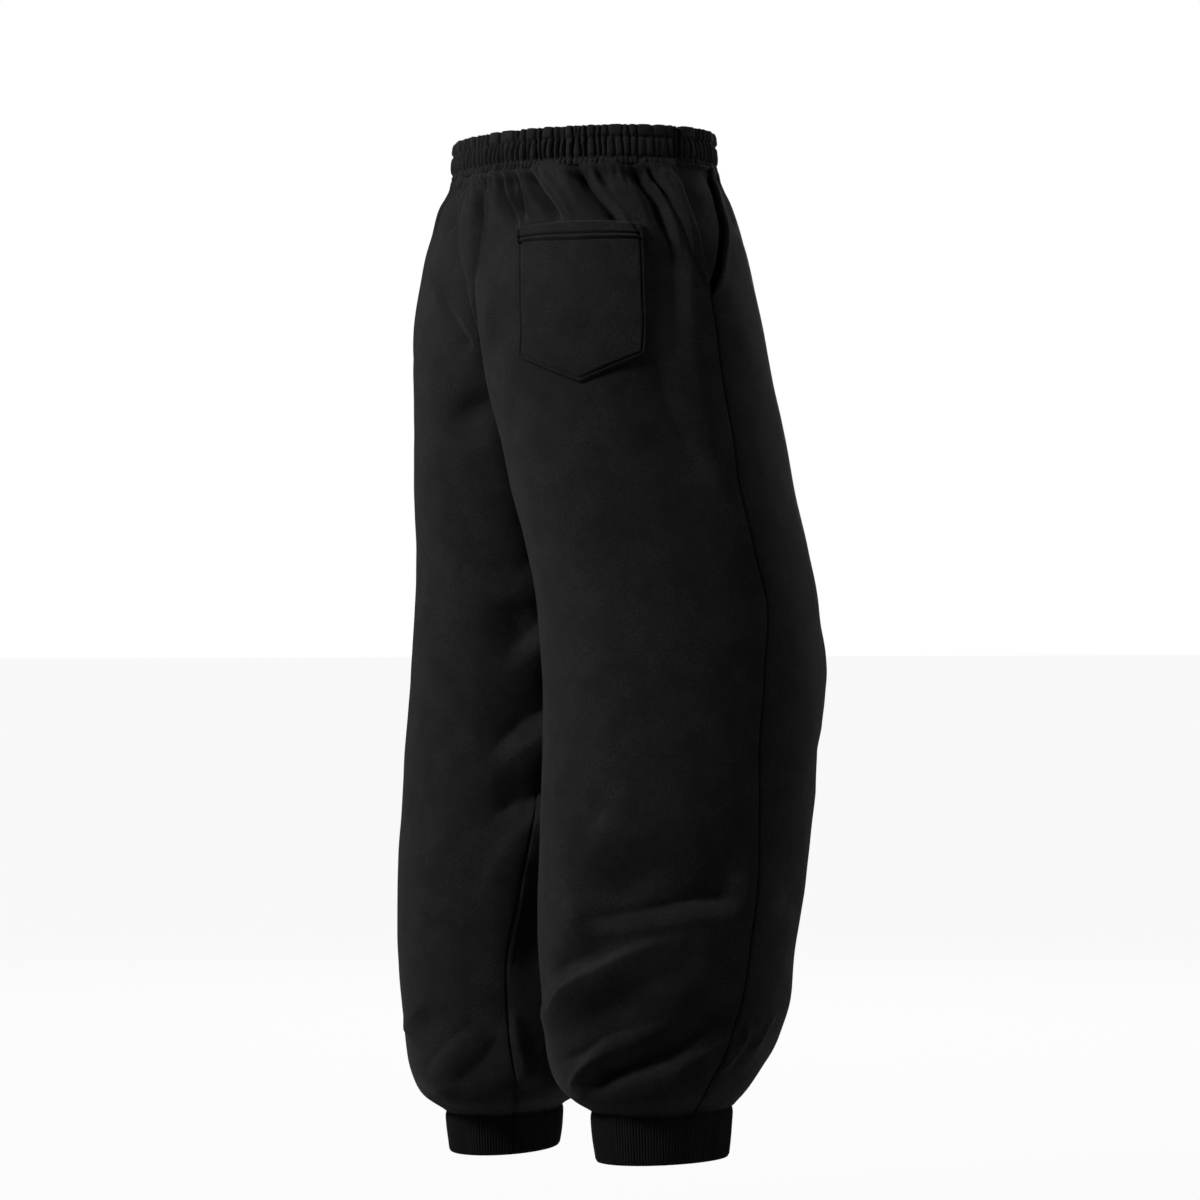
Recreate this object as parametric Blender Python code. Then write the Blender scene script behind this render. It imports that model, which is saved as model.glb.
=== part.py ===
"""Jogger sweatpants in heavy brushed fleece, standing open as they do on a wearer.

Frame: metres, +Z up, front towards -Y, the wearer's right leg at -X.
Origin: the middle of the waistband's ring, where the wearer's waist holds the trousers.
Every piece is a wall of cloth with the garment's own form, and neighbours at a seam are SEAM_GAP apart.
"""
import math

import bmesh
import bpy
import numpy as np

# ---------------------------------------------------------------- driving sizes
SEAM_GAP = 0.0003          # between two pieces that are sewn together
CLOTH = 0.0025             # thickness of the fleece
BAND_CLOTH = 0.0042        # casing: two layers and the elastic
CUFF_CLOTH = 0.0030        # doubled rib knit

BAND_HEIGHT = 0.038        # waistband, top edge to leg seam
BAND_TOP = (0.1550, 0.1100)      # half width, half depth of its top edge
BAND_FOOT = (0.1590, 0.1130)     # the same at its lower edge
BAND_COLUMNS = 56
BAND_PLEAT = 0.0008        # every second column of the gathered band stands in by this

BODY_TOP = BAND_HEIGHT / 2 + SEAM_GAP      # drop of the panels' upper edge
CROTCH_CURVE_TOP = 0.090   # drop at which the centre seams start to run in between the legs
CROTCH_DROP = 0.315        # drop of the crotch point
LEG_FOOT = 0.9095          # drop of the seam between leg and cuff
LEG_ROUNDING = 0.012       # how softly a leg flattens against the other one
LEFT_HANGS = 0.021         # the left leg hangs this much lower
HEM_TILT = 0.040           # rise of the hem per metre towards the front
HEM_TILT_FROM = 0.800      # drop at which that rise begins

CUFF_HALF = (0.0555, 0.0685)     # half width and half depth at the cuff's top
CUFF_TAPER = 0.93          # the foot of the cuff, as a share of its top
CUFF_SHOWS = {"right": 0.0490, "left": 0.0415}
CUFF_COLUMNS = 24
CUFF_LEVELS = (0.0, 0.5, 1.0)    # shares of its height

FRONT_COLUMNS = 12
BACK_COLUMNS = 12
LINE_STEPS = 361           # points from the side seam to either edge, along which a section is measured
TURN_WEIGHT = 0.035        # metres of cloth that a radian of turning counts for, in spacing columns
ACROSS = 0.004             # to either side of the seat seam, for the slope of the cloth there

# ---------------------------------------------------------------- tables
# One row for each level of the right leg. drop: below the middle of the waistband. out: the leg's
# axis from the middle plane. forward: the same axis ahead of the waist. turn: toe-out of the section,
# side_seam: its angle ahead of the outer side, inseam: its angle behind the inner side, in degrees.
SECTION_COLUMNS = ("drop", "out", "half_width", "half_depth", "forward", "turn", "side_seam", "inseam")
SECTIONS = (
    (0.0190, 0.000, 0.1580, 0.1115, 0.000, 0, -3, 0),
    (0.0250, 0.000, 0.1605, 0.1145, 0.000, 0, -3, 0),
    (0.0480, 0.004, 0.1680, 0.1220, 0.000, 0, -3, 0),
    (0.0830, 0.013, 0.1735, 0.1270, 0.001, 0, -1, 0),
    (0.1120, 0.022, 0.1675, 0.1320, 0.002, 0, 1, 0),
    (0.1420, 0.035, 0.1590, 0.1355, 0.003, 0, 2, 0),
    (0.1810, 0.050, 0.1485, 0.1385, 0.006, 0, 3, 0),
    (0.2200, 0.060, 0.1400, 0.1400, 0.010, 0, 3, 0),
    (0.2730, 0.074, 0.1325, 0.1400, 0.017, 0, 3, 0),
    (0.3240, 0.084, 0.1295, 0.1400, 0.023, 0, 2, 2),
    (0.3830, 0.096, 0.1275, 0.1390, 0.032, 0, 2, 6),
    (0.4400, 0.105, 0.1270, 0.1400, 0.037, 0, 4, 12),
    (0.5000, 0.113, 0.1260, 0.1400, 0.037, 0, 0, 20),
    (0.5600, 0.117, 0.1245, 0.1380, 0.032, 0, -1, 28),
    (0.6300, 0.120, 0.1220, 0.1345, 0.024, 2, 4, 34),
    (0.7000, 0.122, 0.1200, 0.1300, 0.016, 5, 9, 40),
    (0.7600, 0.122, 0.1165, 0.1240, 0.010, 8, 12, 47),
    (0.8060, 0.122, 0.1115, 0.1180, 0.007, 12, 15, 50),
    (0.8420, 0.122, 0.1050, 0.1110, 0.003, 16, 16, 51),
    (0.8720, 0.122, 0.0960, 0.1020, -0.001, 20, 16, 50),
    (0.8930, 0.125, 0.0810, 0.0895, -0.004, 23, 17, 48),
    (0.9095, 0.130, 0.0570, 0.0700, -0.002, 25, 18, 46),
)

# Levels of the facets, closer together at the waist, the crotch and the foot of the leg.
ROW_DROPS = (
    BODY_TOP, 0.030, 0.045, 0.064, 0.084, 0.104, 0.125, 0.146, 0.172, 0.200, 0.230, 0.260,
    0.285, 0.302, 0.312, CROTCH_DROP, 0.340, 0.372, 0.410, 0.450, 0.490, 0.530, 0.570, 0.610,
    0.645, 0.675, 0.705, 0.735, 0.765, 0.793, 0.819, 0.843, 0.864, 0.882, 0.897, LEG_FOOT,
)

# The largest folds. Each runs along a curve through three places on the cloth, a place being its
# drop and its girth, the way round from the side seam, + towards the back. height: + for a ridge and
# - for a trough. above, below: its width on either side. fade: the share of its length that it takes
# to die away at each end.
FOLD_COLUMNS = ("leg", "drop1", "girth1", "drop2", "girth2", "drop3", "girth3",
                "height", "above", "below", "fade1", "fade2")
FOLDS = (
    ("right", 0.730, 0.190, 0.690, 0.120, 0.650, 0.070, -0.006, 0.030, 0.020, 0.4, 0.6),
    ("right", 0.745, 0.235, 0.714, 0.130, 0.708, 0.030, 0.006, 0.016, 0.022, 0.3, 0.5),
    ("right", 0.775, 0.210, 0.745, 0.120, 0.730, 0.040, -0.005, 0.020, 0.020, 0.3, 0.5),
    ("right", 0.832, 0.235, 0.785, 0.165, 0.745, 0.080, 0.009, 0.018, 0.026, 0.2, 0.5),
    ("right", 0.868, 0.190, 0.838, 0.130, 0.822, 0.070, 0.005, 0.016, 0.020, 0.3, 0.5),
    ("right", 0.886, 0.135, 0.864, 0.080, 0.832, 0.036, -0.007, 0.016, 0.018, 0.3, 0.4),
    ("right", 0.820, -0.020, 0.850, -0.030, 0.880, -0.040, 0.005, 0.020, 0.020, 0.5, 0.5),
    ("right", 0.800, -0.200, 0.815, -0.120, 0.780, -0.060, 0.006, 0.020, 0.026, 0.4, 0.5),
    ("right", 0.850, -0.230, 0.862, -0.150, 0.838, -0.080, 0.006, 0.018, 0.022, 0.4, 0.5),
    ("right", 0.205, 0.095, 0.280, 0.080, 0.345, 0.030, -0.004, 0.026, 0.026, 0.4, 0.5),
    ("left", 0.425, 0.320, 0.455, 0.310, 0.480, 0.290, -0.006, 0.024, 0.018, 0.3, 0.5),
    ("left", 0.448, 0.340, 0.465, 0.315, 0.500, 0.285, 0.006, 0.016, 0.024, 0.2, 0.6),
    ("left", 0.530, 0.340, 0.552, 0.305, 0.600, 0.262, 0.008, 0.016, 0.030, 0.2, 0.6),
    ("left", 0.616, 0.330, 0.655, 0.300, 0.720, 0.265, 0.008, 0.018, 0.030, 0.2, 0.6),
    ("left", 0.890, 0.120, 0.842, 0.215, 0.815, 0.280, 0.008, 0.018, 0.022, 0.3, 0.5),
    ("left", 0.815, 0.285, 0.850, 0.275, 0.885, 0.245, 0.006, 0.014, 0.014, 0.3, 0.4),
    ("left", 0.800, -0.200, 0.818, -0.120, 0.785, -0.050, 0.007, 0.020, 0.026, 0.4, 0.5),
    ("left", 0.862, -0.220, 0.868, -0.140, 0.840, -0.060, 0.006, 0.018, 0.022, 0.4, 0.5),
)
FOLD_POINTS = 9            # points along a fold's curve
CENTRE_HOLD = 0.030        # folds die away over this much cloth beside a centre seam
FAR = 10.0                 # further than any cloth reaches

# Slanted opening of the side pocket: how far ahead of the side seam its edge lies.
OPENING_COLUMNS = ("drop", "ahead")
OPENING = (
    (0.0190, 0.053),
    (0.0700, 0.047),
    (0.1010, 0.031),
    (0.1250, 0.017),
    (0.1460, 0.000),
)

# The seat seam swings to the wearer's left of the middle plane on its way up to the waistband.
SWING_COLUMNS = ("drop", "left")
SWING = (
    (0.0190, 0.040),
    (0.0600, 0.040),
    (0.0820, 0.037),
    (0.0980, 0.030),
    (0.1220, 0.017),
    (0.1510, 0.009),
    (0.1760, 0.004),
    (0.2100, 0.000),
)

# Backing of the side pocket, seen through the opening.
BACKING_DEPTH = 0.0052     # of its face, below the form of the panels
BACKING_BEHIND = 0.008     # reach behind the side seam
BACKING_AHEAD = 0.014      # reach ahead of the opening's edge
BACKING_DROPS = (0.0160, 0.045, 0.070, 0.095, 0.120, 0.140, 0.156)
BACKING_COLUMNS = 4

# Patch pocket on the right back panel.
POCKET_TOP = 0.079         # drop of its upper corners
POCKET_SIDE = 0.122        # length of its sides
POCKET_POINT = 0.026       # how far its tip hangs below them
POCKET_WIDTH = 0.128
POCKET_FROM_SEAM = (0.056, 0.079)    # its outer edge from the side seam, at the top and the foot
POCKET_LIFT = 0.0016       # clear of the panel's facets
POCKET_CELLS = 8

# The band's profile: height above its middle, and how far that line stands out.
BAND_PROFILE_COLUMNS = ("height", "proud")
BAND_PROFILE = (
    (0.0190, 0.0000),
    (0.0070, -0.0012),
    (-0.0020, 0.0010),
    (-0.0115, -0.0012),
    (-0.0190, 0.0000),
)

FLEECE_COLOUR = (0.012, 0.012, 0.013, 1.0)
RIB_COLOUR = (0.008, 0.008, 0.009, 1.0)


# ---------------------------------------------------------------- reading the tables
def table_column(table, names, name):
    """One named column of a table, as an array."""
    place = names.index(name)
    return np.array([row[place] for row in table], dtype=float)


def smooth_between(x, xs, ys):
    """A curve through the table's points that never overshoots them."""
    gap = np.diff(xs)
    slope = np.diff(ys) / gap
    tangent = np.zeros(len(xs))
    tangent[0] = slope[0]
    tangent[-1] = slope[-1]
    for k in range(1, len(xs) - 1):
        if slope[k - 1] * slope[k] > 0:
            near = 2 * gap[k] + gap[k - 1]
            far = gap[k] + 2 * gap[k - 1]
            tangent[k] = (near + far) / (near / slope[k - 1] + far / slope[k])
    k = int(np.clip(np.searchsorted(xs, x, side="right") - 1, 0, len(xs) - 2))
    t = (x - xs[k]) / gap[k]
    start = (1 + 2 * t) * (1 - t) ** 2 * ys[k] + t * (1 - t) ** 2 * gap[k] * tangent[k]
    end = t * t * (3 - 2 * t) * ys[k + 1] + t * t * (t - 1) * gap[k] * tangent[k + 1]
    return float(start + end)


def section_at(drop):
    """The right leg's section at one level, by column name."""
    drops = table_column(SECTIONS, SECTION_COLUMNS, "drop")
    return {
        name: smooth_between(drop, drops, table_column(SECTIONS, SECTION_COLUMNS, name))
        for name in SECTION_COLUMNS[1:]
    }


def opening_at(drop):
    """How far ahead of the side seam the front panel ends at this level."""
    drops = table_column(OPENING, OPENING_COLUMNS, "drop")
    if drop >= drops[-1]:
        return 0.0
    return smooth_between(drop, drops, table_column(OPENING, OPENING_COLUMNS, "ahead"))


def seat_swing(drop):
    """How far to the wearer's left of the middle plane the seat seam lies at this level."""
    drops = table_column(SWING, SWING_COLUMNS, "drop")
    if drop >= drops[-1]:
        return 0.0
    return smooth_between(drop, drops, table_column(SWING, SWING_COLUMNS, "left"))


def ramp(x, low, high):
    """0 below low, 1 above high, and smooth between."""
    t = np.clip((x - low) / (high - low), 0.0, 1.0)
    return t * t * (3 - 2 * t)


# ---------------------------------------------------------------- the form of one leg
def keep_to_own_side(x):
    """Flatten a leg against the middle plane, where it would pass into the other one."""
    plane = -SEAM_GAP / 2
    inside = plane - x
    eased = (inside + LEG_ROUNDING) ** 2 / (4 * LEG_ROUNDING)
    kept = np.where(inside > LEG_ROUNDING, inside, np.where(inside < -LEG_ROUNDING, 0.0, eased))
    return plane - kept


def section_line(drop):
    """The right half's outer line at one level, from its front edge round the outer side to its back
    edge, with the distance of each point from the side seam along the line, + towards the back."""
    s = section_at(drop)
    side = math.pi - math.radians(s["side_seam"])
    if drop < CROTCH_DROP:
        meets_plane = math.acos(min(1.0, (s["out"] + LEG_ROUNDING) / s["half_width"]))
        down = max(0.0, (drop - CROTCH_CURVE_TOP) / (CROTCH_DROP - CROTCH_CURVE_TOP))
        centre_seam = math.asin(math.sqrt(1 - down * down))
        first = min(meets_plane, centre_seam)
        last = 2 * math.pi - first
    else:
        first = -math.radians(s["inseam"])
        last = 2 * math.pi + first
    ahead = np.linspace(first, side, LINE_STEPS)
    behind = np.linspace(side, last, LINE_STEPS)
    angle = np.concatenate([ahead, behind[1:]])
    across = s["half_width"] * np.cos(angle)
    along = -s["half_depth"] * np.sin(angle)
    turn = math.radians(s["turn"])
    x = -s["out"] + across * math.cos(turn) + along * math.sin(turn)
    y = -s["forward"] - across * math.sin(turn) + along * math.cos(turn)
    line = np.stack([keep_to_own_side(x), y], axis=1)
    length = np.concatenate([[0.0], np.cumsum(np.hypot(*np.diff(line, axis=0).T))])
    return line, length - length[LINE_STEPS - 1]


def carried_line(drop):
    """The same line, carried on past its back edge over the start of the other half, with the
    girths and the girth of the back edge itself."""
    line, girth = section_line(drop)
    over = line[-2::-1] * np.array([-1, 1])
    return np.vstack([line, over]), np.concatenate([girth, 2 * girth[-1] - girth[-2::-1]]), girth[-1]


def place_points(drop, girths, leg):
    """Points of one leg's outer face at one level, before folds."""
    line, girth, _ = carried_line(drop)
    x = np.interp(girths, girth, line[:, 0])
    y = np.interp(girths, girth, line[:, 1])
    middle = -section_at(drop)["forward"]
    z = -drop + HEM_TILT * (middle - y) * ramp(drop, HEM_TILT_FROM, LEG_FOOT)
    if leg == "left":
        x = -x
        z = z - LEFT_HANGS * ramp(drop, CROTCH_DROP, LEG_FOOT)
    return np.stack([x, y, z], axis=1)


def spread(line, girth, start, end, count):
    """Girths from start to end, closer together where the section's line turns."""
    step = np.diff(line, axis=0)
    heading = np.unwrap(np.arctan2(step[:, 1], step[:, 0]))
    turning = np.abs(np.gradient(heading))
    measure = np.concatenate([[0.0], np.cumsum(np.hypot(*step.T) + TURN_WEIGHT * turning)])
    ends = np.interp((start, end), girth, measure)
    girths = np.interp(np.linspace(ends[0], ends[1], count + 1), measure, girth)
    girths[0] = start
    girths[-1] = end
    return girths


def row_girths(drop, leg):
    """Girths of the facets' corners at one level: the front panel's, then the back panel's."""
    line, girth, middle = carried_line(drop)
    half = SEAM_GAP / 2
    front_edge = min(-half, -opening_at(drop))
    swing = seat_swing(drop) if leg == "right" else -seat_swing(drop)
    front = spread(line, girth, girth[0] + half, front_edge, FRONT_COLUMNS)
    back = spread(line, girth, half, middle + swing - half, BACK_COLUMNS)
    return np.concatenate([front, back])


def fold_height(leg, drops, girths):
    """How far the folds lift each place on the cloth, on the fold's own stretch of the girth."""
    lift = np.zeros(drops.shape)
    for row in FOLDS:
        fold = dict(zip(FOLD_COLUMNS, row))
        if fold["leg"] != leg:
            continue
        t = np.linspace(0.0, 1.0, FOLD_POINTS)
        shares = (2 * (t - 0.5) * (t - 1), 4 * t * (1 - t), 2 * t * (t - 0.5))
        path_drop = sum(share * fold[f"drop{k + 1}"] for k, share in enumerate(shares))
        path_girth = sum(share * fold[f"girth{k + 1}"] for k, share in enumerate(shares))
        nearest = np.full(drops.shape, FAR)
        along = np.zeros(drops.shape)
        is_below = np.zeros(drops.shape, dtype=bool)
        for k in range(FOLD_POINTS - 1):
            step_d = path_drop[k + 1] - path_drop[k]
            step_g = path_girth[k + 1] - path_girth[k]
            share = (drops - path_drop[k]) * step_d + (girths - path_girth[k]) * step_g
            share = np.clip(share / (step_d ** 2 + step_g ** 2), 0.0, 1.0)
            off_d = drops - path_drop[k] - share * step_d
            off_g = girths - path_girth[k] - share * step_g
            distance = np.hypot(off_d, off_g)
            closer = distance < nearest
            nearest = np.where(closer, distance, nearest)
            along = np.where(closer, (k + share) / (FOLD_POINTS - 1), along)
            is_below = np.where(closer, off_d > 0, is_below)
        width = np.where(is_below, fold["below"], fold["above"])
        fade = ramp(along, 0.0, fold["fade1"]) * ramp(1 - along, 0.0, fold["fade2"])
        lift += fold["height"] * fade * np.exp(-(nearest / width) ** 2)
    return lift


def cloth_lift(leg, drops, girths):
    """The folds' lift over a whole half: it goes on across the inseam and dies away at the centre
    seams, which both halves share."""
    first = girths[:, :1]
    last = girths[:, -1:]
    is_tube = drops[:, :1] >= CROTCH_DROP
    whole = np.where(is_tube, last - first, FAR)
    lift = sum(fold_height(leg, drops, girths + turn * whole) for turn in (-1, 0, 1))
    from_centre = np.minimum(girths - first, last - girths)
    return lift * np.where(is_tube, 1.0, ramp(from_centre, 0.0, CENTRE_HOLD))


def grid_normals(points, twin, across_seat):
    """Outward normals of a grid of points; columns twin and twin + 1 lie on the same seam, and below
    the crotch the first and last columns do too. across_seat: the way across the seat seam."""
    columns = points.shape[1]
    before = np.clip(np.arange(columns) - 1, 0, columns - 1)
    after = np.clip(np.arange(columns) + 1, 0, columns - 1)
    before[twin + 1] = twin - 1
    after[twin] = twin + 2
    around = points[:, after] - points[:, before]
    is_tube = np.array(ROW_DROPS) >= CROTCH_DROP
    across_inseam = points[is_tube, 1] - points[is_tube, -2]
    around[is_tube, 0] = across_inseam
    around[is_tube, -1] = across_inseam
    around[~is_tube, -1] = across_seat[~is_tube]
    down = np.gradient(points, axis=0)
    normal = np.cross(around, down)
    normal /= np.linalg.norm(normal, axis=2, keepdims=True)
    return normal


def leg_grid(leg):
    """Outer points and normals of a whole half of the trousers, front columns first."""
    drops = np.repeat(np.array(ROW_DROPS)[:, None], FRONT_COLUMNS + BACK_COLUMNS + 2, axis=1)
    girths = np.array([row_girths(drop, leg) for drop in ROW_DROPS])
    points = np.array([place_points(d, g, leg) for d, g in zip(ROW_DROPS, girths)])
    seat = [place_points(d, g[-1] + np.array([-ACROSS, ACROSS]), leg) for d, g in zip(ROW_DROPS, girths)]
    normals = grid_normals(points, FRONT_COLUMNS, np.diff(seat, axis=1)[:, 0])
    if leg == "left":
        normals = -normals
    points = points + normals * cloth_lift(leg, drops, girths)[..., None]
    plane = SEAM_GAP / 2
    middle = np.array([carried_line(drop)[2] for drop in ROW_DROPS])[:, None]
    if leg == "left":
        points[..., 0] = np.maximum(points[..., 0], plane)
    else:
        own_side = np.minimum(points[..., 0], -plane)
        points[..., 0] = np.where(girths <= middle, own_side, points[..., 0])
    return {"points": points, "normals": normals, "girths": girths}


def on_facets(grid, drop, girth):
    """The point and normal of the back panel's facets at one place on the cloth."""
    row = float(np.interp(drop, ROW_DROPS, np.arange(len(ROW_DROPS))))
    j = min(int(row), len(ROW_DROPS) - 2)
    v = row - j
    first = FRONT_COLUMNS + 1
    girths = (1 - v) * grid["girths"][j, first:] + v * grid["girths"][j + 1, first:]
    col = float(np.interp(girth, girths, np.arange(BACK_COLUMNS + 1)))
    i = min(int(col), BACK_COLUMNS - 1)
    u = col - i
    found = []
    for values in (grid["points"], grid["normals"]):
        a = values[j, first + i]
        b = values[j, first + i + 1]
        c = values[j + 1, first + i + 1]
        d = values[j + 1, first + i]
        found.append(a + u * (b - a) + v * (c - b) if u >= v else a + v * (d - a) + u * (c - d))
    return found[0], found[1] / np.linalg.norm(found[1])


# ---------------------------------------------------------------- building bodies
def make_material(name, colour, roughness):
    """A Principled material."""
    material = bpy.data.materials.new(name)
    material.use_nodes = True
    shader = material.node_tree.nodes["Principled BSDF"]
    shader.inputs["Base Color"].default_value = colour
    shader.inputs["Roughness"].default_value = roughness
    shader.inputs["Metallic"].default_value = 0.0
    return material


def add_wall(name, outer, inner, material, collection, is_ring=False):
    """One closed body between two grids of points; a ring's last column meets its first."""
    rows, columns = outer.shape[:2]
    bm = bmesh.new()
    faces_of = []
    for grid in (outer, inner):
        faces_of.append([[bm.verts.new(grid[j, i]) for i in range(columns)] for j in range(rows)])
    face, back = faces_of
    spans = columns if is_ring else columns - 1
    for j in range(rows - 1):
        for i in range(spans):
            k = (i + 1) % columns
            for side in (face, back):
                bm.faces.new((side[j][i], side[j][k], side[j + 1][k]))
                bm.faces.new((side[j][i], side[j + 1][k], side[j + 1][i]))
    rims = [(face[j], back[j], spans) for j in (0, rows - 1)]
    if not is_ring:
        for i in (0, columns - 1):
            rims.append(([row[i] for row in face], [row[i] for row in back], rows - 1))
    for edge, inner_edge, count in rims:
        for i in range(count):
            k = (i + 1) % len(edge)
            bm.faces.new((edge[i], edge[k], inner_edge[k]))
            bm.faces.new((edge[i], inner_edge[k], inner_edge[i]))
    bmesh.ops.recalc_face_normals(bm, faces=bm.faces)
    mesh = bpy.data.meshes.new(name)
    bm.to_mesh(mesh)
    bm.free()
    mesh.materials.append(material)
    mesh.shade_smooth()
    body = bpy.data.objects.new(name, mesh)
    collection.objects.link(body)
    return body


def add_panels(leg, grid, material, collection):
    """The front and the back panel of one leg."""
    inner = grid["points"] - CLOTH * grid["normals"]
    split = FRONT_COLUMNS + 1
    for name, part in (("front", slice(0, split)), ("back", slice(split, None))):
        add_wall(f"{name}_{leg}", grid["points"][:, part], inner[:, part], material, collection)


def add_back_pocket(grid, material, collection):
    """The patch pocket, laid on the right back panel's facets."""
    shape = (POCKET_CELLS + 1, POCKET_CELLS + 1, 3)
    outer = np.zeros(shape)
    inner = np.zeros(shape)
    for j in range(POCKET_CELLS + 1):
        down = j / POCKET_CELLS
        seam = POCKET_FROM_SEAM[0] + down * (POCKET_FROM_SEAM[1] - POCKET_FROM_SEAM[0])
        for i in range(POCKET_CELLS + 1):
            across = i / POCKET_CELLS
            point = POCKET_POINT * (1 - abs(2 * across - 1))
            drop = POCKET_TOP + down * (POCKET_SIDE + point)
            place, normal = on_facets(grid, drop, seam + across * POCKET_WIDTH)
            inner[j, i] = place + normal * POCKET_LIFT
            outer[j, i] = place + normal * (POCKET_LIFT + CLOTH)
    add_wall("back_pocket", outer, inner, material, collection)


def add_side_pocket(leg, material, collection):
    """The backing that shows through the side pocket's opening."""
    rows = []
    for drop in BACKING_DROPS:
        ahead = opening_at(drop) + BACKING_AHEAD
        rows.append(place_points(drop, np.linspace(-ahead, BACKING_BEHIND, BACKING_COLUMNS + 1), leg))
    form = np.array(rows)
    down = np.gradient(form, axis=0)
    around = np.gradient(form, axis=1)
    normal = np.cross(around, down)
    normal /= np.linalg.norm(normal, axis=2, keepdims=True)
    if leg == "left":
        normal = -normal
    outer = form - BACKING_DEPTH * normal
    add_wall(f"side_pocket_{leg}", outer, outer - CLOTH * normal, material, collection)


def oval(half_width, half_depth, count):
    """Unit-free points of an oval, and its outward directions."""
    angle = np.arange(count) * 2 * math.pi / count
    place = np.stack([half_width * np.cos(angle), half_depth * np.sin(angle)], axis=1)
    out = np.stack([np.cos(angle) / half_width, np.sin(angle) / half_depth], axis=1)
    out /= np.linalg.norm(out, axis=1, keepdims=True)
    return place, out


def add_waistband(material, collection):
    """The elastic waistband, one gathered ring."""
    outer = []
    inner = []
    pleat = BAND_PLEAT * (np.arange(BAND_COLUMNS) % 2)
    heights = table_column(BAND_PROFILE, BAND_PROFILE_COLUMNS, "height")
    stands_out = table_column(BAND_PROFILE, BAND_PROFILE_COLUMNS, "proud")
    for height, proud in zip(heights, stands_out):
        down = 0.5 - height / BAND_HEIGHT
        half = [top + down * (foot - top) for top, foot in zip(BAND_TOP, BAND_FOOT)]
        place, out = oval(half[0], half[1], BAND_COLUMNS)
        level = np.full((BAND_COLUMNS, 1), height)
        outer.append(np.hstack([place + out * (proud - pleat)[:, None], level]))
        inner.append(np.hstack([place - out * BAND_CLOTH, level]))
    add_wall("waistband", np.array(outer), np.array(inner), material, collection, is_ring=True)


def add_cuff(leg, material, collection):
    """The rib cuff below one leg."""
    foot = SECTIONS[-1]
    s = dict(zip(SECTION_COLUMNS, foot))
    turn = math.radians(s["turn"])
    mirror = 1 if leg == "right" else -1
    lowered = LEFT_HANGS if leg == "left" else 0.0
    outer = []
    inner = []
    for down in CUFF_LEVELS:
        scale = 1 - (1 - CUFF_TAPER) * down
        place, out = oval(CUFF_HALF[0] * scale, CUFF_HALF[1] * scale, CUFF_COLUMNS)
        for rows, line in ((outer, place), (inner, place - out * CUFF_CLOTH)):
            x = -s["out"] + line[:, 0] * math.cos(turn) + line[:, 1] * math.sin(turn)
            shift = -line[:, 0] * math.sin(turn) + line[:, 1] * math.cos(turn)
            z = -LEG_FOOT - SEAM_GAP - CUFF_SHOWS[leg] * down - lowered - HEM_TILT * shift
            rows.append(np.stack([mirror * x, -s["forward"] + shift, z], axis=1))
    add_wall(f"cuff_{leg}", np.array(outer), np.array(inner), material, collection, is_ring=True)


def main():
    """Build the trousers."""
    for body in list(bpy.data.objects):
        bpy.data.objects.remove(body, do_unlink=True)
    collection = bpy.data.collections.new("jogger_sweatpants")
    bpy.context.scene.collection.children.link(collection)
    fleece = make_material("fleece", FLEECE_COLOUR, 0.92)
    band = make_material("gathered_band", FLEECE_COLOUR, 0.90)
    patch = make_material("pocket_fleece", FLEECE_COLOUR, 0.92)
    rib = make_material("rib_knit", RIB_COLOUR, 0.85)
    add_waistband(band, collection)
    for leg in ("right", "left"):
        grid = leg_grid(leg)
        add_panels(leg, grid, fleece, collection)
        if leg == "right":
            add_back_pocket(grid, patch, collection)
        add_side_pocket(leg, patch, collection)
        add_cuff(leg, rib, collection)


main()
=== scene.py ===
"""Looks of the jogger sweatpants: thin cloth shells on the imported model's form, with their folds,
gathers, seams, stitches, ribs and fleece, on a pale floor in soft studio light.

Frame: metres, +Z up, front towards -Y, the wearer's right leg at -X, origin in the waistband's ring.
A place on a leg's cloth is its drop, below the middle of the waistband, and its girth, the way round
from the side seam, + towards the back. Tables of folds and gathers are in millimetres.
"""
import math

import bpy
import numpy as np
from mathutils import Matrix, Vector


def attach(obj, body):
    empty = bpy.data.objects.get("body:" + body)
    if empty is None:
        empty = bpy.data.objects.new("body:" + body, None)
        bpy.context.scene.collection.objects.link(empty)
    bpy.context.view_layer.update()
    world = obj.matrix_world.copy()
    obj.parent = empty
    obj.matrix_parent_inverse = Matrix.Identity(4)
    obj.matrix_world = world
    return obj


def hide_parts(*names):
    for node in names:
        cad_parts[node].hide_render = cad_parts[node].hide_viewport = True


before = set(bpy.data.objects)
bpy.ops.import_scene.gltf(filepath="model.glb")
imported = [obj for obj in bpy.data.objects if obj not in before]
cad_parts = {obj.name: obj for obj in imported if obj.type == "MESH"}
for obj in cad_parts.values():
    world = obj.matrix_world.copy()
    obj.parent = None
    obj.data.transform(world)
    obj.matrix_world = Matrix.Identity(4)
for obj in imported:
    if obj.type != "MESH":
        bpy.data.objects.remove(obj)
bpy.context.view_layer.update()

MM = 0.001

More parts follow.
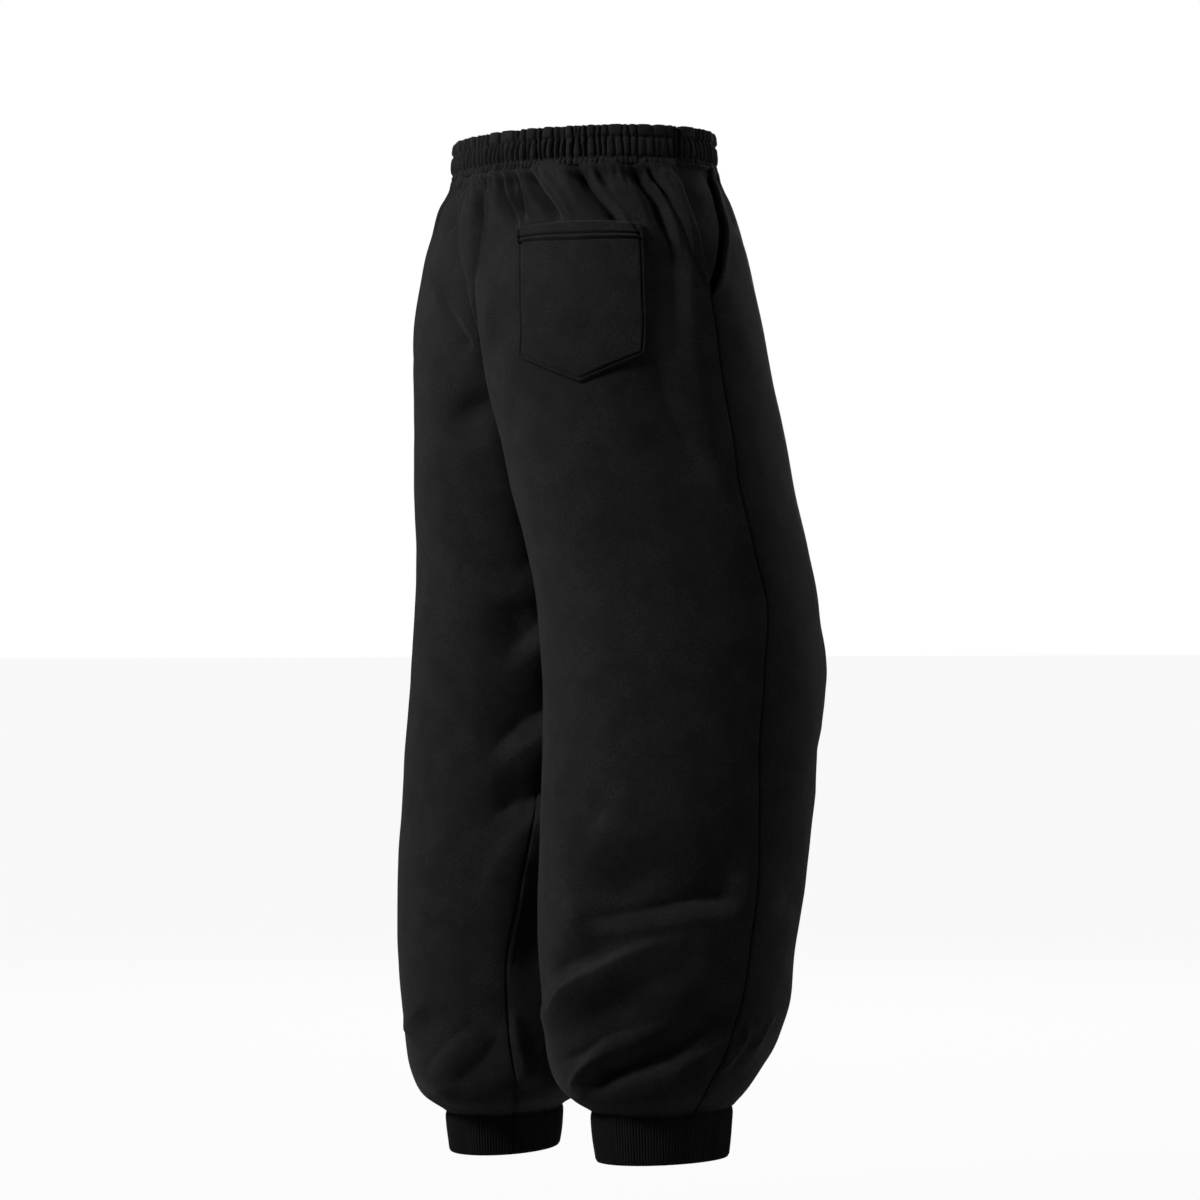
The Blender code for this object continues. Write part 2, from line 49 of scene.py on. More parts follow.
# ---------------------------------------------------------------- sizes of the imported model
SEAM_GAP = 0.0003
CLOTH = 0.0025
BAND_CLOTH = 0.0042
CUFF_CLOTH = 0.0030
BAND_HEIGHT = 0.038
BAND_TOP = (0.1550, 0.1100)
BAND_FOOT = (0.1590, 0.1130)
BODY_TOP = BAND_HEIGHT / 2 + SEAM_GAP
CROTCH_CURVE_TOP = 0.090
CROTCH_DROP = 0.315
LEG_FOOT = 0.9095
LEG_ROUNDING = 0.012
LEFT_HANGS = 0.021
HEM_TILT = 0.040
HEM_TILT_FROM = 0.800
CUFF_HALF = (0.0555, 0.0685)
CUFF_TAPER = 0.93
CUFF_SHOWS = {"right": 0.0490, "left": 0.0415}
LINE_STEPS = 361

SECTION_COLUMNS = ("drop", "out", "half_width", "half_depth", "forward", "turn", "side_seam", "inseam")
SECTIONS = (
    (0.0190, 0.000, 0.1580, 0.1115, 0.000, 0, -3, 0),
    (0.0250, 0.000, 0.1605, 0.1145, 0.000, 0, -3, 0),
    (0.0480, 0.004, 0.1680, 0.1220, 0.000, 0, -3, 0),
    (0.0830, 0.013, 0.1735, 0.1270, 0.001, 0, -1, 0),
    (0.1120, 0.022, 0.1675, 0.1320, 0.002, 0, 1, 0),
    (0.1420, 0.035, 0.1590, 0.1355, 0.003, 0, 2, 0),
    (0.1810, 0.050, 0.1485, 0.1385, 0.006, 0, 3, 0),
    (0.2200, 0.060, 0.1400, 0.1400, 0.010, 0, 3, 0),
    (0.2730, 0.074, 0.1325, 0.1400, 0.017, 0, 3, 0),
    (0.3240, 0.084, 0.1295, 0.1400, 0.023, 0, 2, 2),
    (0.3830, 0.096, 0.1275, 0.1390, 0.032, 0, 2, 6),
    (0.4400, 0.105, 0.1270, 0.1400, 0.037, 0, 4, 12),
    (0.5000, 0.113, 0.1260, 0.1400, 0.037, 0, 0, 20),
    (0.5600, 0.117, 0.1245, 0.1380, 0.032, 0, -1, 28),
    (0.6300, 0.120, 0.1220, 0.1345, 0.024, 2, 4, 34),
    (0.7000, 0.122, 0.1200, 0.1300, 0.016, 5, 9, 40),
    (0.7600, 0.122, 0.1165, 0.1240, 0.010, 8, 12, 47),
    (0.8060, 0.122, 0.1115, 0.1180, 0.007, 12, 15, 50),
    (0.8420, 0.122, 0.1050, 0.1110, 0.003, 16, 16, 51),
    (0.8720, 0.122, 0.0960, 0.1020, -0.001, 20, 16, 50),
    (0.8930, 0.125, 0.0810, 0.0895, -0.004, 23, 17, 48),
    (0.9095, 0.130, 0.0570, 0.0700, -0.002, 25, 18, 46),
)
# Drop, and how far ahead of the side seam the front panel ends there, at the pocket's opening.
OPENING = ((0.0190, 0.053), (0.0700, 0.047), (0.1010, 0.031), (0.1250, 0.017), (0.1460, 0.000))
# Drop, and how far to the wearer's left of the middle plane the seat seam lies there.
SWING = ((0.0190, 0.040), (0.0600, 0.040), (0.0820, 0.037), (0.0980, 0.030), (0.1220, 0.017),
         (0.1510, 0.009), (0.1760, 0.004), (0.2100, 0.000))
POCKET_TOP = 0.079
POCKET_SIDE = 0.122
POCKET_POINT = 0.026
POCKET_WIDTH = 0.128
POCKET_FROM_SEAM = (0.056, 0.079)
POCKET_ARCH = 0.0032                  # its top edge bows up by this
POCKET_ARCH_HELD = 0.003
POCKET_HOLD = (-0.006, 0.004)         # the cloth under it goes flat between these distances inside it
UNDER_POCKET_SINK = 0.0010

# ---------------------------------------------------------------- folds
# One row for each fold of a leg, in millimetres. height: + a ridge, - a trough. plus, minus: its width
# on the side of larger girth and on the other side, for a fold listed downwards; for one listed towards
# larger girth, plus is its upper side. edge: 1 for a sharp crease to 2 for a round fold.
# fade1, fade2: the share of its length over which it dies away. path: its places, as drop,girth.
FOLD_COLUMNS = ("height", "plus", "minus", "edge", "fade1", "fade2", "path")
RIGHT_FOLDS = (
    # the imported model's own folds
    (-6, 20, 30, 2, 0.4, 0.6, "730,190 690,120 650,70"),
    (6, 22, 16, 2, 0.3, 0.5, "745,235 714,130 708,30"),
    (-5, 20, 20, 2, 0.3, 0.5, "775,210 745,120 730,40"),
    (9, 26, 18, 2, 0.2, 0.5, "832,235 785,165 745,80"),
    (5, 20, 16, 2, 0.3, 0.5, "868,190 838,130 822,70"),
    (-7, 18, 16, 2, 0.3, 0.4, "886,135 864,80 832,36"),
    (5, 20, 20, 2, 0.5, 0.5, "820,-20 850,-30 880,-40"),
    (4.5, 28, 34, 2, 0.4, 0.5, "800,-200 815,-120 780,-60"),
    (6, 18, 22, 2, 0.4, 0.5, "850,-230 862,-150 838,-80"),
    (-4, 26, 26, 2, 0.4, 0.5, "205,95 280,80 345,30"),
    # right seat: creases that run down and outwards from the waistband
    (-13.2, 7, 3.5, 1, 0.02, 0.25, "12,156 32,147 44,142 57,136 80,131"),
    (4, 4, 6, 1.6, 0.1, 0.2, "19,139 28,133 39,129 53,122 74,118"),
    (4, 8, 9, 2, 0.2, 0.4, "14,115 32,112 50,108 70,100"),
    (-20.4, 10, 4.5, 1, 0.02, 0.1, "12,101 30,94 41,89 52,83 63,78 84,73"),
    (-4.8, 3, 2.5, 1, 0.1, 0.6, "14,89 31,86 43,83"),
    (-8.4, 5, 3, 1, 0.05, 0.6, "12,80 31,75 42,72 60,68"),
    (-18, 9, 4.5, 1, 0.02, 0.45, "12,47 30,39 42,33 54,30 68,31 84,32 104,32 124,33"),
    (-7, 20, 7, 1.3, 0.3, 0.5, "86,33 111,32 140,36 176,44 216,52"),
    (-9, 6, 3, 1, 0.03, 0.5, "12,37 27,27 38,21 52,16 72,14"),
    (-2.6, 2.4, 2.4, 1, 0.2, 0.05, "34,21 50,20 75,18 100,15 124,9 145,2"),
    (-7, 20, 9, 1.3, 0.3, 0.4, "190,66 225,66 250,60 286,50 322,36 356,20"),
    (5, 8, 7, 1.5, 0.1, 0.5, "16,18 32,9 48,6 65,7 88,10 120,15 170,20"),
    (-12.5, 7, 3.5, 1, 0.02, 0.4, "12,193 20,190 37,191 49,189 60,186 74,185 100,188"),
    (-12, 7, 3.5, 1, 0.02, 0.3, "12,171 40,170 51,170 76,175"),
    (-4.8, 3.5, 2.5, 1, 0.05, 0.6, "12,181 29,179 44,177"),
    (-11, 8, 3.5, 1, 0.02, 0.4, "12,209 30,216 43,221 62,230 85,246 107,255 130,262"),
    (-8.5, 6, 3, 1, 0.03, 0.4, "12,228 23,229 37,230 55,236 67,237 82,240"),
    (-3.6, 3, 3.5, 1, 0.1, 0.4, "14,250 24,240 33,231"),
    (3, 12, 12, 2, 0.4, 0.4, "108,232 150,243 196,268"),
    (3, 12, 16, 2, 0.4, 0.5, "150,20 200,28 280,26 340,14"),
    (-5, 7, 20, 1.2, 0.2, 0.4, "634,146 620,180 608,211 592,262"),
    # right shin: creases with a full, rounded bulge above each
    (-17, 9, 40, 1, 0.3, 0.15, "733,180 727,165 722,134 719,116 716,97 712,80 709,61 708,36 709,10"),
    (-5, 11, 9, 1.6, 0.2, 0.5, "784,216 772,189 766,171 759,150 752,131 743,100"),
    (11, 19, 4, 1.2, 0.4, 0.35,
     "834,246 816,203 804,190 793,180 784,169 775,156 769,144 758,124 748,92 744,62"),
    (3, 16, 16, 2, 0.4, 0.5, "808,120 793,68 782,10"),
    (-10, 8, 24, 1, 0.2, 0.35, "864,188 856,158 851,145 844,136 838,129 833,119 824,92 812,60"),
    (4.5, 7, 5, 1.2, 0.3, 0.4, "889,145 876,142 867,138 858,132 849,123"),
    (-13, 8, 20, 1, 0.12, 0.2,
     "884,132 878,109 871,93 864,78 858,63 853,51 843,42 834,36 830,28 827,8 826,-6"),
    (-3, 4, 5, 1, 0.4, 0.4, "857,38 848,30 843,20 840,6"),
    (5, 3, 5, 1.3, 0.3, 0.3, "822,-16 837,-12 850,-8 861,-5 874,-6"),
    (3, 3, 4, 1.2, 0.3, 0.3, "815,-64 832,-44 841,-36 852,-24"),
    # fronts: gathers below the band, folds out of the crotch, bulges above the cuffs
    (-6.5, 6, 11, 1, 0.05, 0.4, "12,-184 40,-186 72,-182 104,-172"),
    (-4, 4, 5, 1, 0.05, 0.5, "12,-200 30,-206 56,-214"),
    (-7.5, 6, 13, 1, 0.05, 0.4, "12,-150 38,-148 70,-140 110,-124 140,-112"),
    (-3.5, 4, 4, 1, 0.05, 0.5, "12,-166 34,-168 52,-166"),
    (-6, 6, 9, 1, 0.05, 0.5, "12,-116 40,-112 74,-104 98,-96"),
    (-4, 4, 5, 1, 0.05, 0.5, "12,-132 32,-130 58,-124"),
    (-4.5, 5, 6, 1, 0.05, 0.5, "12,-88 36,-84 66,-76 84,-70"),
    (-3, 3, 4, 1, 0.05, 0.5, "12,-101 30,-99 46,-95"),
    (-3, 4, 4, 1, 0.05, 0.5, "12,-72 34,-70 54,-66"),
    (-7.5, 10, 16, 1.2, 0.2, 0.5, "300,-340 272,-262 250,-196 244,-140"),
    (-6.5, 12, 16, 1.3, 0.2, 0.5, "330,-392 352,-300 364,-226 360,-160"),
    (5, 16, 16, 2, 0.3, 0.5, "312,-352 306,-268 296,-190"),
    (-5, 16, 22, 1.6, 0.3, 0.5, "500,-420 520,-330 512,-240"),
    (-5, 18, 14, 1.4, 0.4, 0.5, "560,-90 590,-170 584,-260"),
    (4, 20, 18, 2, 0.4, 0.5, "440,-110 520,-160 610,-170"),
    (-9, 22, 9, 1, 0.2, 0.4, "836,-360 824,-290 816,-230 818,-184"),
    (-8, 20, 9, 1, 0.3, 0.3, "872,-300 868,-240 866,-190 858,-140"),
    (-7, 20, 10, 1, 0.3, 0.4, "760,-400 748,-330 752,-260 742,-200"),
    (4.5, 8, 12, 1.3, 0.3, 0.5, "786,-340 778,-270 790,-190"),
    (-7.5, 20, 9, 1, 0.2, 0.4, "690,-420 680,-350 690,-280"),
    # outer and inner sides
    (-4.5, 14, 9, 1.2, 0.4, 0.5, "730,-110 716,-60 722,-14"),
)
LEFT_FOLDS = (
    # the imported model's own folds
    (-6, 18, 24, 2, 0.3, 0.5, "425,320 455,310 480,290"),
    (7, 26, 11, 2, 0.05, 0.6, "440,376 466,344 484,320 520,288"),
    (9, 34, 11, 2, 0.05, 0.6, "524,380 549,345 570,314 618,270"),
    (9, 34, 12, 2, 0.05, 0.6, "606,372 634,336 666,308 738,270"),
    (8, 18, 22, 2, 0.3, 0.5, "890,120 842,215 815,280"),
    (6, 14, 14, 2, 0.3, 0.4, "815,285 850,275 885,245"),
    (7, 20, 26, 2, 0.4, 0.5, "800,-200 818,-120 785,-50"),
    (6, 18, 22, 2, 0.4, 0.5, "862,-220 868,-140 840,-60"),
    # left seat
    (-8, 5, 9, 1, 0.03, 0.15, "10,122 25,133 40,154 57,179 70,193"),
    (-4, 4, 4, 1, 0.1, 0.6, "12,150 28,160 38,166"),
    (4, 9, 9, 1.6, 0.3, 0.4, "92,126 115,179 128,202 138,220 148,233"),
    (-4, 4, 13, 1, 0.3, 0.2, "142,226 162,251 174,263 190,279"),
    (-11, 13, 17, 1.6, 0.4, 0.1, "258,232 247,264 241,290 236,320"),
    (-8, 7, 5, 1, 0.05, 0.5, "12,108 34,118 58,126 80,128"),
    (-9.5, 9, 6, 1, 0.05, 0.4, "12,82 30,84 52,92 86,95 112,92"),
    (-6, 5, 4, 1, 0.05, 0.5, "12,96 32,101 54,108"),
    (-10, 12, 6, 1, 0.05, 0.4, "12,52 34,56 60,60 96,58 134,48"),
    (-3.5, 4, 4, 1, 0.05, 0.5, "12,66 30,70 48,73"),
    (-5.5, 8, 6, 1, 0.05, 0.5, "12,24 36,26 66,27 100,22 128,16"),
    (-3, 4, 4, 1, 0.05, 0.5, "12,38 28,40 46,44"),
    (3.5, 12, 14, 2, 0.3, 0.5, "60,108 120,116 190,108 260,84"),
    (-4, 18, 16, 1.6, 0.4, 0.5, "140,66 220,86 300,74 350,46"),
    # left thigh and calf, beside the inner side of the right leg
    (-8, 14, 24, 1.3, 0.05, 0.5, "360,372 380,340 396,318 414,300"),
    (-10, 8, 22, 1, 0.05, 0.45, "412,378 443,346 457,329 465,318 471,309 486,292"),
    (-13, 9, 26, 1, 0.05, 0.45, "492,380 527,342 537,322 542,313 550,303 558,293 568,284 586,268"),
    (-12, 9, 26, 1, 0.05, 0.55, "580,374 610,334 615,314 620,305 627,296 648,278"),
    (-12, 34, 26, 2, 0.2, 0.4, "664,366 710,352 760,334 806,316"),
    (4, 9, 7, 1.1, 0.1, 0.5, "836,128 822,164 813,182 804,196 788,214"),
    (-7.5, 18, 9, 1, 0.2, 0.3, "880,134 859,171 850,187 840,207 831,224 819,250 805,278"),
    (-7.5, 16, 9, 1, 0.3, 0.2, "884,150 876,185 869,204 861,223 852,240 840,257 824,275"),
    (2.5, 4, 4, 1.3, 0.3, 0.4, "889,138 881,172 877,194"),
    (5.5, 7, 3, 1.3, 0.2, 0.3, "802,299 822,289 840,281 857,272 884,246"),
    (3.5, 6, 6, 1.5, 0.3, 0.4, "836,314 851,293 864,276 879,258"),
    # fronts: gathers below the band, folds out of the crotch, bulges above the cuffs
    (-6, 6, 10, 1, 0.05, 0.4, "12,-190 38,-192 66,-190 92,-182"),
    (-4, 4, 5, 1, 0.05, 0.5, "12,-206 34,-212 60,-218"),
    (-8, 7, 12, 1, 0.05, 0.4, "12,-156 42,-156 78,-146 118,-130"),
    (-4, 4, 5, 1, 0.05, 0.5, "12,-172 30,-174 52,-174"),
    (-6.5, 6, 10, 1, 0.05, 0.5, "12,-124 36,-122 68,-112 106,-100"),
    (-3, 4, 4, 1, 0.05, 0.5, "12,-140 34,-138 50,-134"),
    (-5, 5, 6, 1, 0.05, 0.5, "12,-94 40,-90 62,-84"),
    (-3, 3, 4, 1, 0.05, 0.5, "12,-108 28,-107 44,-103"),
    (-4, 4, 5, 1, 0.05, 0.5, "12,-76 38,-74 70,-68"),
    (-8, 10, 16, 1.2, 0.2, 0.5, "304,-344 280,-270 262,-204 258,-146"),
    (-5.5, 12, 16, 1.3, 0.2, 0.5, "338,-396 366,-306 380,-230 378,-168"),
    (5, 16, 16, 2, 0.3, 0.5, "318,-356 316,-276 310,-196"),
    (-5.5, 16, 22, 1.6, 0.3, 0.5, "520,-424 544,-336 538,-250"),
    (-4.5, 18, 14, 1.4, 0.4, 0.5, "590,-80 616,-160 612,-250"),
    (-8, 20, 9, 1, 0.2, 0.4, "704,-424 692,-352 700,-284"),
    (-9, 22, 9, 1, 0.2, 0.4, "842,-352 832,-284 826,-214 834,-140"),
    (-7.5, 20, 9, 1, 0.3, 0.3, "876,-290 874,-232 870,-170 858,-100"),
    (-6.5, 20, 10, 1, 0.3, 0.4, "772,-396 760,-326 766,-250 756,-190"),
    # outer and inner sides
    (-7, 18, 9, 1, 0.3, 0.4, "850,-60 836,-10 842,50 834,100"),
    (-6.5, 18, 10, 1, 0.3, 0.4, "742,-60 730,10 736,80 726,140"),
    (4, 12, 12, 1.6, 0.3, 0.4, "790,-70 784,0 796,80"),
    (-4, 16, 14, 1.4, 0.4, 0.5, "380,-60 440,10 470,90"),
)
FOLDS = {"right": RIGHT_FOLDS, "left": LEFT_FOLDS}

FOLD_STEPS = 8             # straight pieces between two places of a fold's path
FOLD_REACH = 3.2           # widths at which a fold is over
FOLD_JOIN = 0.06           # folds that come this near to the crotch run on across the inseam
FAR_OFF = 10.0
CREASE_EDGE = 1.4          # a fold with no larger edge is a crease, with sides that end at once
CREASE_REACH = 1.5         # a crease reaches this much further
CREASE_POINT = 0.06        # share of its width over which a crease's line is rounded
CREASE_POWER = 1.6
CREST_SHARE = 0.16         # a crease's steeper side ends in a crest this share of its depth high
CREST_WIDEST = 0.0065      # on creases with a steeper side narrower than this
CREST_OFF = 1.7            # the crest's distance from the crease, in widths of that side
CREST_HALF = 0.5
CENTRE_HOLD = 0.014        # folds die away over this much cloth beside a centre seam

# Gathers at a panel's ends: first and last girth, spacing, depth in millimetres, length, half width
# and largest lean of each.
TOP_GATHERS = (-0.24, 0.24, (0.0062, 0.0105), (2.2, 5.2), (0.009, 0.024), (0.0014, 0.0024), 0.12)
FOOT_GATHERS = (-0.30, 0.26, (0.008, 0.016), (0.3, 1.0), (0.006, 0.016), (0.0018, 0.0032), 0.4)
GATHER_SEED = {"right": 11, "left": 23}

# Slow waves of the heavy cloth: length in metres and height in millimetres.
WAVES = ((0.110, 0.9), (0.060, 0.45), (0.032, 0.18))
WAVES_EACH = 5
WAVE_SPREAD = (0.8, 1.3)
WAVE_SEED = {"right": 5, "left": 9}

# Seams: depth of the line itself, half width of the line, and the soft hollow round it.
SEAM_DEPTH = 0.0021
SEAM_HALF = 0.0011
SEAM_HOLLOW = 0.0006
SEAM_HOLLOW_HALF = 0.0050
CENTRE_SEAM_DEPTH = 0.0032
CENTRE_SEAM_HALF = 0.0034
SEAT_SEAM_HALF = {"right": 0.0045, "left": 0.0130}
PLANE_HOLD = 0.010         # beside the middle plane, cloth moves along it and not away from it

# The top edge, sewn to the band: the height over which the cloth comes free of it, the share of a
# trough that is left there, and how far the gathered edge stands out to the band's face.
TOP_FREE = 0.010
TOP_TROUGHS = 0.22
TOP_EDGE_PROUD = 0.0019
TOP_EDGE_HEIGHT = 0.007

# Folded and stitched edge of the side pocket's opening, on the front panel.
OPENING_FOOT = 0.150
OPENING_FADE = 0.012
FACING_WIDTH = 0.0085
FACING_LIFT = 0.0016
FACING_STEP = (0.0012, -0.0006)
FACING_GAPE = 0.0004
GAPE_REACH = 0.012
GAPE_BEGINS = (0.022, 0.045)
FACING_GROOVE = (0.0014, 0.0012, 0.0009)      # depth, distance inside the facing's line, half width
FACING_ROLL = (0.0016, 0.0014)                # depth and width of the rolled edge
BACK_EDGE = (0.0012, 0.0026, 0.0034)          # the same edge of the back panel: height, place, half width
BACK_ROLL = (0.0012, 0.0012)

# The side pocket's backing: how far it goes on past the opening, its top and foot, how deep it is
# dished, and how far behind the panels it lies.
BACKING_AHEAD = 0.014
BACKING_BEHIND = 0.006
BACKING_DROPS = (0.0160, 0.156)
BACKING_GRID = (73, 45)
BACKING_DISH = 0.0140
BACKING_DISH_DROPS = (0.022, 0.042, 0.134, 0.152)
BACKING_DISH_BEHIND = (-0.011, -0.002)         # its slopes on both sides of the opening's edge
BACKING_DISH_AHEAD = (-0.013, -0.004)
BACKING_TURN = -0.001                          # the girth at which it goes behind the back panel
BACKING_BULGE = (0.0012, 0.5, 0.4, 0.004)      # height; place and half width in openings; and more
BACKING_WAVE = (0.0010, 95, (0.004, 0.02))     # height, rate down it, and girths where it begins
BACKING_SINK = 0.0030
BACKING_SINK_BEHIND = 0.0040
BACKING_CLOTH = 0.0022


# ---------------------------------------------------------------- the form of one leg
def smooth_between(x, xs, ys):
    """A curve through the table's points that never overshoots them."""
    gap = np.diff(xs)
    slope = np.diff(ys) / gap
    tangent = np.zeros(len(xs))
    tangent[0] = slope[0]
    tangent[-1] = slope[-1]
    for k in range(1, len(xs) - 1):
        if slope[k - 1] * slope[k] > 0:
            near = 2 * gap[k] + gap[k - 1]
            far = gap[k] + 2 * gap[k - 1]
            tangent[k] = (near + far) / (near / slope[k - 1] + far / slope[k])
    k = int(np.clip(np.searchsorted(xs, x, side="right") - 1, 0, len(xs) - 2))
    t = (x - xs[k]) / gap[k]
    start = (1 + 2 * t) * (1 - t) ** 2 * ys[k] + t * (1 - t) ** 2 * gap[k] * tangent[k]
    end = t * t * (3 - 2 * t) * ys[k + 1] + t * t * (t - 1) * gap[k] * tangent[k + 1]
    return float(start + end)


def section_at(drop):
    """The right leg's section at one level, by column name."""
    drops, *columns = np.array(SECTIONS, dtype=float).T
    return {name: smooth_between(drop, drops, values) for name, values in zip(SECTION_COLUMNS[1:], columns)}


def short_table(table, drop):
    """The second column of a table at one level, 0 below its last row."""
    drops, values = np.array(table).T
    return 0.0 if drop >= drops[-1] else smooth_between(drop, drops, values)


def opening_at(drop):
    """How far ahead of the side seam the front panel ends at this level."""
    return short_table(OPENING, drop)


def seat_swing(drop):
    """How far to the wearer's left of the middle plane the seat seam lies at this level."""
    return short_table(SWING, drop)


def ramp(x, low, high):
    """0 below low, 1 above high, and smooth between."""
    t = np.clip((x - low) / (high - low), 0.0, 1.0)
    return t * t * (3 - 2 * t)


def bump(x, half):
    """1 at 0, dying away over a few half widths."""
    return np.exp(-(x / half) ** 2)


def keep_to_own_side(x):
    """Flatten a leg against the middle plane, where it would pass into the other one."""
    plane = -SEAM_GAP / 2
    inside = plane - x
    eased = (inside + LEG_ROUNDING) ** 2 / (4 * LEG_ROUNDING)
    kept = np.where(inside > LEG_ROUNDING, inside, np.where(inside < -LEG_ROUNDING, 0.0, eased))
    return plane - kept


def section_line(drop):
    """The right half's outer line at one level, from its front edge to its back edge, and each
    point's girth."""
    s = section_at(drop)
    side = math.pi - math.radians(s["side_seam"])
    if drop < CROTCH_DROP:
        meets_plane = math.acos(min(1.0, (s["out"] + LEG_ROUNDING) / s["half_width"]))
        down = max(0.0, (drop - CROTCH_CURVE_TOP) / (CROTCH_DROP - CROTCH_CURVE_TOP))
        centre_seam = math.asin(math.sqrt(1 - down * down))
        first = min(meets_plane, centre_seam)
        last = 2 * math.pi - first
    else:
        first = -math.radians(s["inseam"])
        last = 2 * math.pi + first
    ahead = np.linspace(first, side, LINE_STEPS)
    behind = np.linspace(side, last, LINE_STEPS)
    angle = np.concatenate([ahead, behind[1:]])
    across = s["half_width"] * np.cos(angle)
    along = -s["half_depth"] * np.sin(angle)
    turn = math.radians(s["turn"])
    x = -s["out"] + across * math.cos(turn) + along * math.sin(turn)
    y = -s["forward"] - across * math.sin(turn) + along * math.cos(turn)
    line = np.stack([keep_to_own_side(x), y], axis=1)
    length = np.concatenate([[0.0], np.cumsum(np.hypot(*np.diff(line, axis=0).T))])
    return line, length - length[LINE_STEPS - 1]


def carried_line(drop):
    """The same line, carried on past its back edge over the start of the other half, with the
    girths and the girth of the back edge itself."""
    line, girth = section_line(drop)
    over = line[-2::-1] * np.array([-1, 1])
    return np.vstack([line, over]), np.concatenate([girth, 2 * girth[-1] - girth[-2::-1]]), girth[-1]


def place_points(drop, girths, leg):
    """Points of one leg's outer face at one level, before folds."""
    drop = float(np.clip(drop, SECTIONS[0][0], LEG_FOOT))
    line, girth, _ = carried_line(drop)
    x = np.interp(girths, girth, line[:, 0])
    y = np.interp(girths, girth, line[:, 1])
    middle = -section_at(drop)["forward"]
    z = -drop + HEM_TILT * (middle - y) * ramp(drop, HEM_TILT_FROM, LEG_FOOT)
    if leg == "left":
        x = -x
        z = z - LEFT_HANGS * ramp(drop, CROTCH_DROP, LEG_FOOT)
    return np.stack([x, y, z], axis=1)


def form_row(drop, girths, leg, step=0.0006):
    """Points and outward normals of the form along one level, from its slopes over a short step."""
    here = place_points(drop, girths, leg)
    around = place_points(drop, girths + step, leg) - place_points(drop, girths - step, leg)
    below = place_points(min(drop + step, LEG_FOOT), girths, leg)
    above = place_points(max(drop - step, SECTIONS[0][0]), girths, leg)
    normal = np.cross(around, below - above)
    normal /= np.maximum(np.linalg.norm(normal, axis=1, keepdims=True), 1e-12)
    return here, -normal if leg == "left" else normal


# ---------------------------------------------------------------- folds on it
def smooth_path(places):
    """A Catmull-Rom curve through the places of a fold's path."""
    p = np.vstack([2 * places[0] - places[1], places, 2 * places[-1] - places[-2]])
    t = np.arange(FOLD_STEPS)[:, None] / FOLD_STEPS
    spans = []
    for k in range(1, len(p) - 2):
        a, b, c, d = p[k - 1], p[k], p[k + 1], p[k + 2]
        spans.append(b + 0.5 * t * (c - a + t * (2 * a - 5 * b + 4 * c - d + t * (3 * b - a - 3 * c + d))))
    return np.vstack(spans + [p[-2:-1]])


def add_fold(lift, fold, drops, girths):
    """Add one fold's lift where it reaches."""
    path = smooth_path(fold["path"])
    plus = fold["plus"] * MM
    minus = fold["minus"] * MM
    is_crease = fold["edge"] <= CREASE_EDGE
    reach = FOLD_REACH * max(plus, minus) * (CREASE_REACH if is_crease else 1.0)
    low = path.min(axis=0) - reach
    high = path.max(axis=0) + reach
    near = (drops > low[0]) & (drops < high[0]) & (girths > low[1]) & (girths < high[1])
    if not near.any():
        return
    d = drops[near]
    g = girths[near]
    nearest = np.full(d.shape, FAR_OFF)
    along = np.zeros(d.shape)
    side = np.zeros(d.shape)
    count = len(path) - 1
    for k in range(count):
        step = path[k + 1] - path[k]
        share = ((d - path[k, 0]) * step[0] + (g - path[k, 1]) * step[1]) / (step @ step)
        share = np.clip(share, 0.0, 1.0)
        off_d = d - path[k, 0] - share * step[0]
        off_g = g - path[k, 1] - share * step[1]
        distance = np.hypot(off_d, off_g)
        closer = distance < nearest
        nearest = np.where(closer, distance, nearest)
        along = np.where(closer, (k + share) / count, along)
        side = np.where(closer, step[0] * off_g - step[1] * off_d, side)
    width = np.where(side > 0, plus, minus)
    fade = ramp(along, 0.0, fold["fade1"]) * ramp(1 - along, 0.0, fold["fade2"])
    if is_crease:
        softened = np.sqrt(nearest ** 2 + (CREASE_POINT * width) ** 2) - CREASE_POINT * width
        shape = np.clip(1 - softened / (2 * width), 0, 1) ** (CREASE_POWER / fold["edge"])
    else:
        shape = np.exp(-(nearest / width) ** fold["edge"])
    narrow = min(plus, minus)
    if is_crease and fold["height"] < 0 and narrow < CREST_WIDEST:
        toward = side if plus <= minus else -side
        crest = CREST_SHARE * bump(nearest - CREST_OFF * narrow, CREST_HALF * narrow)
        shape = shape - np.where(toward > 0, crest, 0.0)
    lift[near] += fold["height"] * MM * fade * shape


def folds_lift(leg, drops, girths, first, last):
    """The lift of all the folds of one leg; below the crotch they run on across the inseam."""
    lift = np.zeros(drops.shape)
    is_tube = drops >= CROTCH_DROP
    for row in FOLDS[leg]:
        fold = dict(zip(FOLD_COLUMNS, row))
        fold["path"] = np.array([place.split(",") for place in fold["path"].split()], dtype=float) * MM
        add_fold(lift, fold, drops, girths)
        if fold["path"][:, 0].max() > CROTCH_DROP - FOLD_JOIN:
            whole = np.where(is_tube, last - first, FAR_OFF)
            add_fold(lift, fold, drops, girths + whole)
            add_fold(lift, fold, drops, girths - whole)
    held = ramp(np.minimum(girths - first, last - girths), 0.0, CENTRE_HOLD)
    return lift * (held + (1 - held) * is_tube)


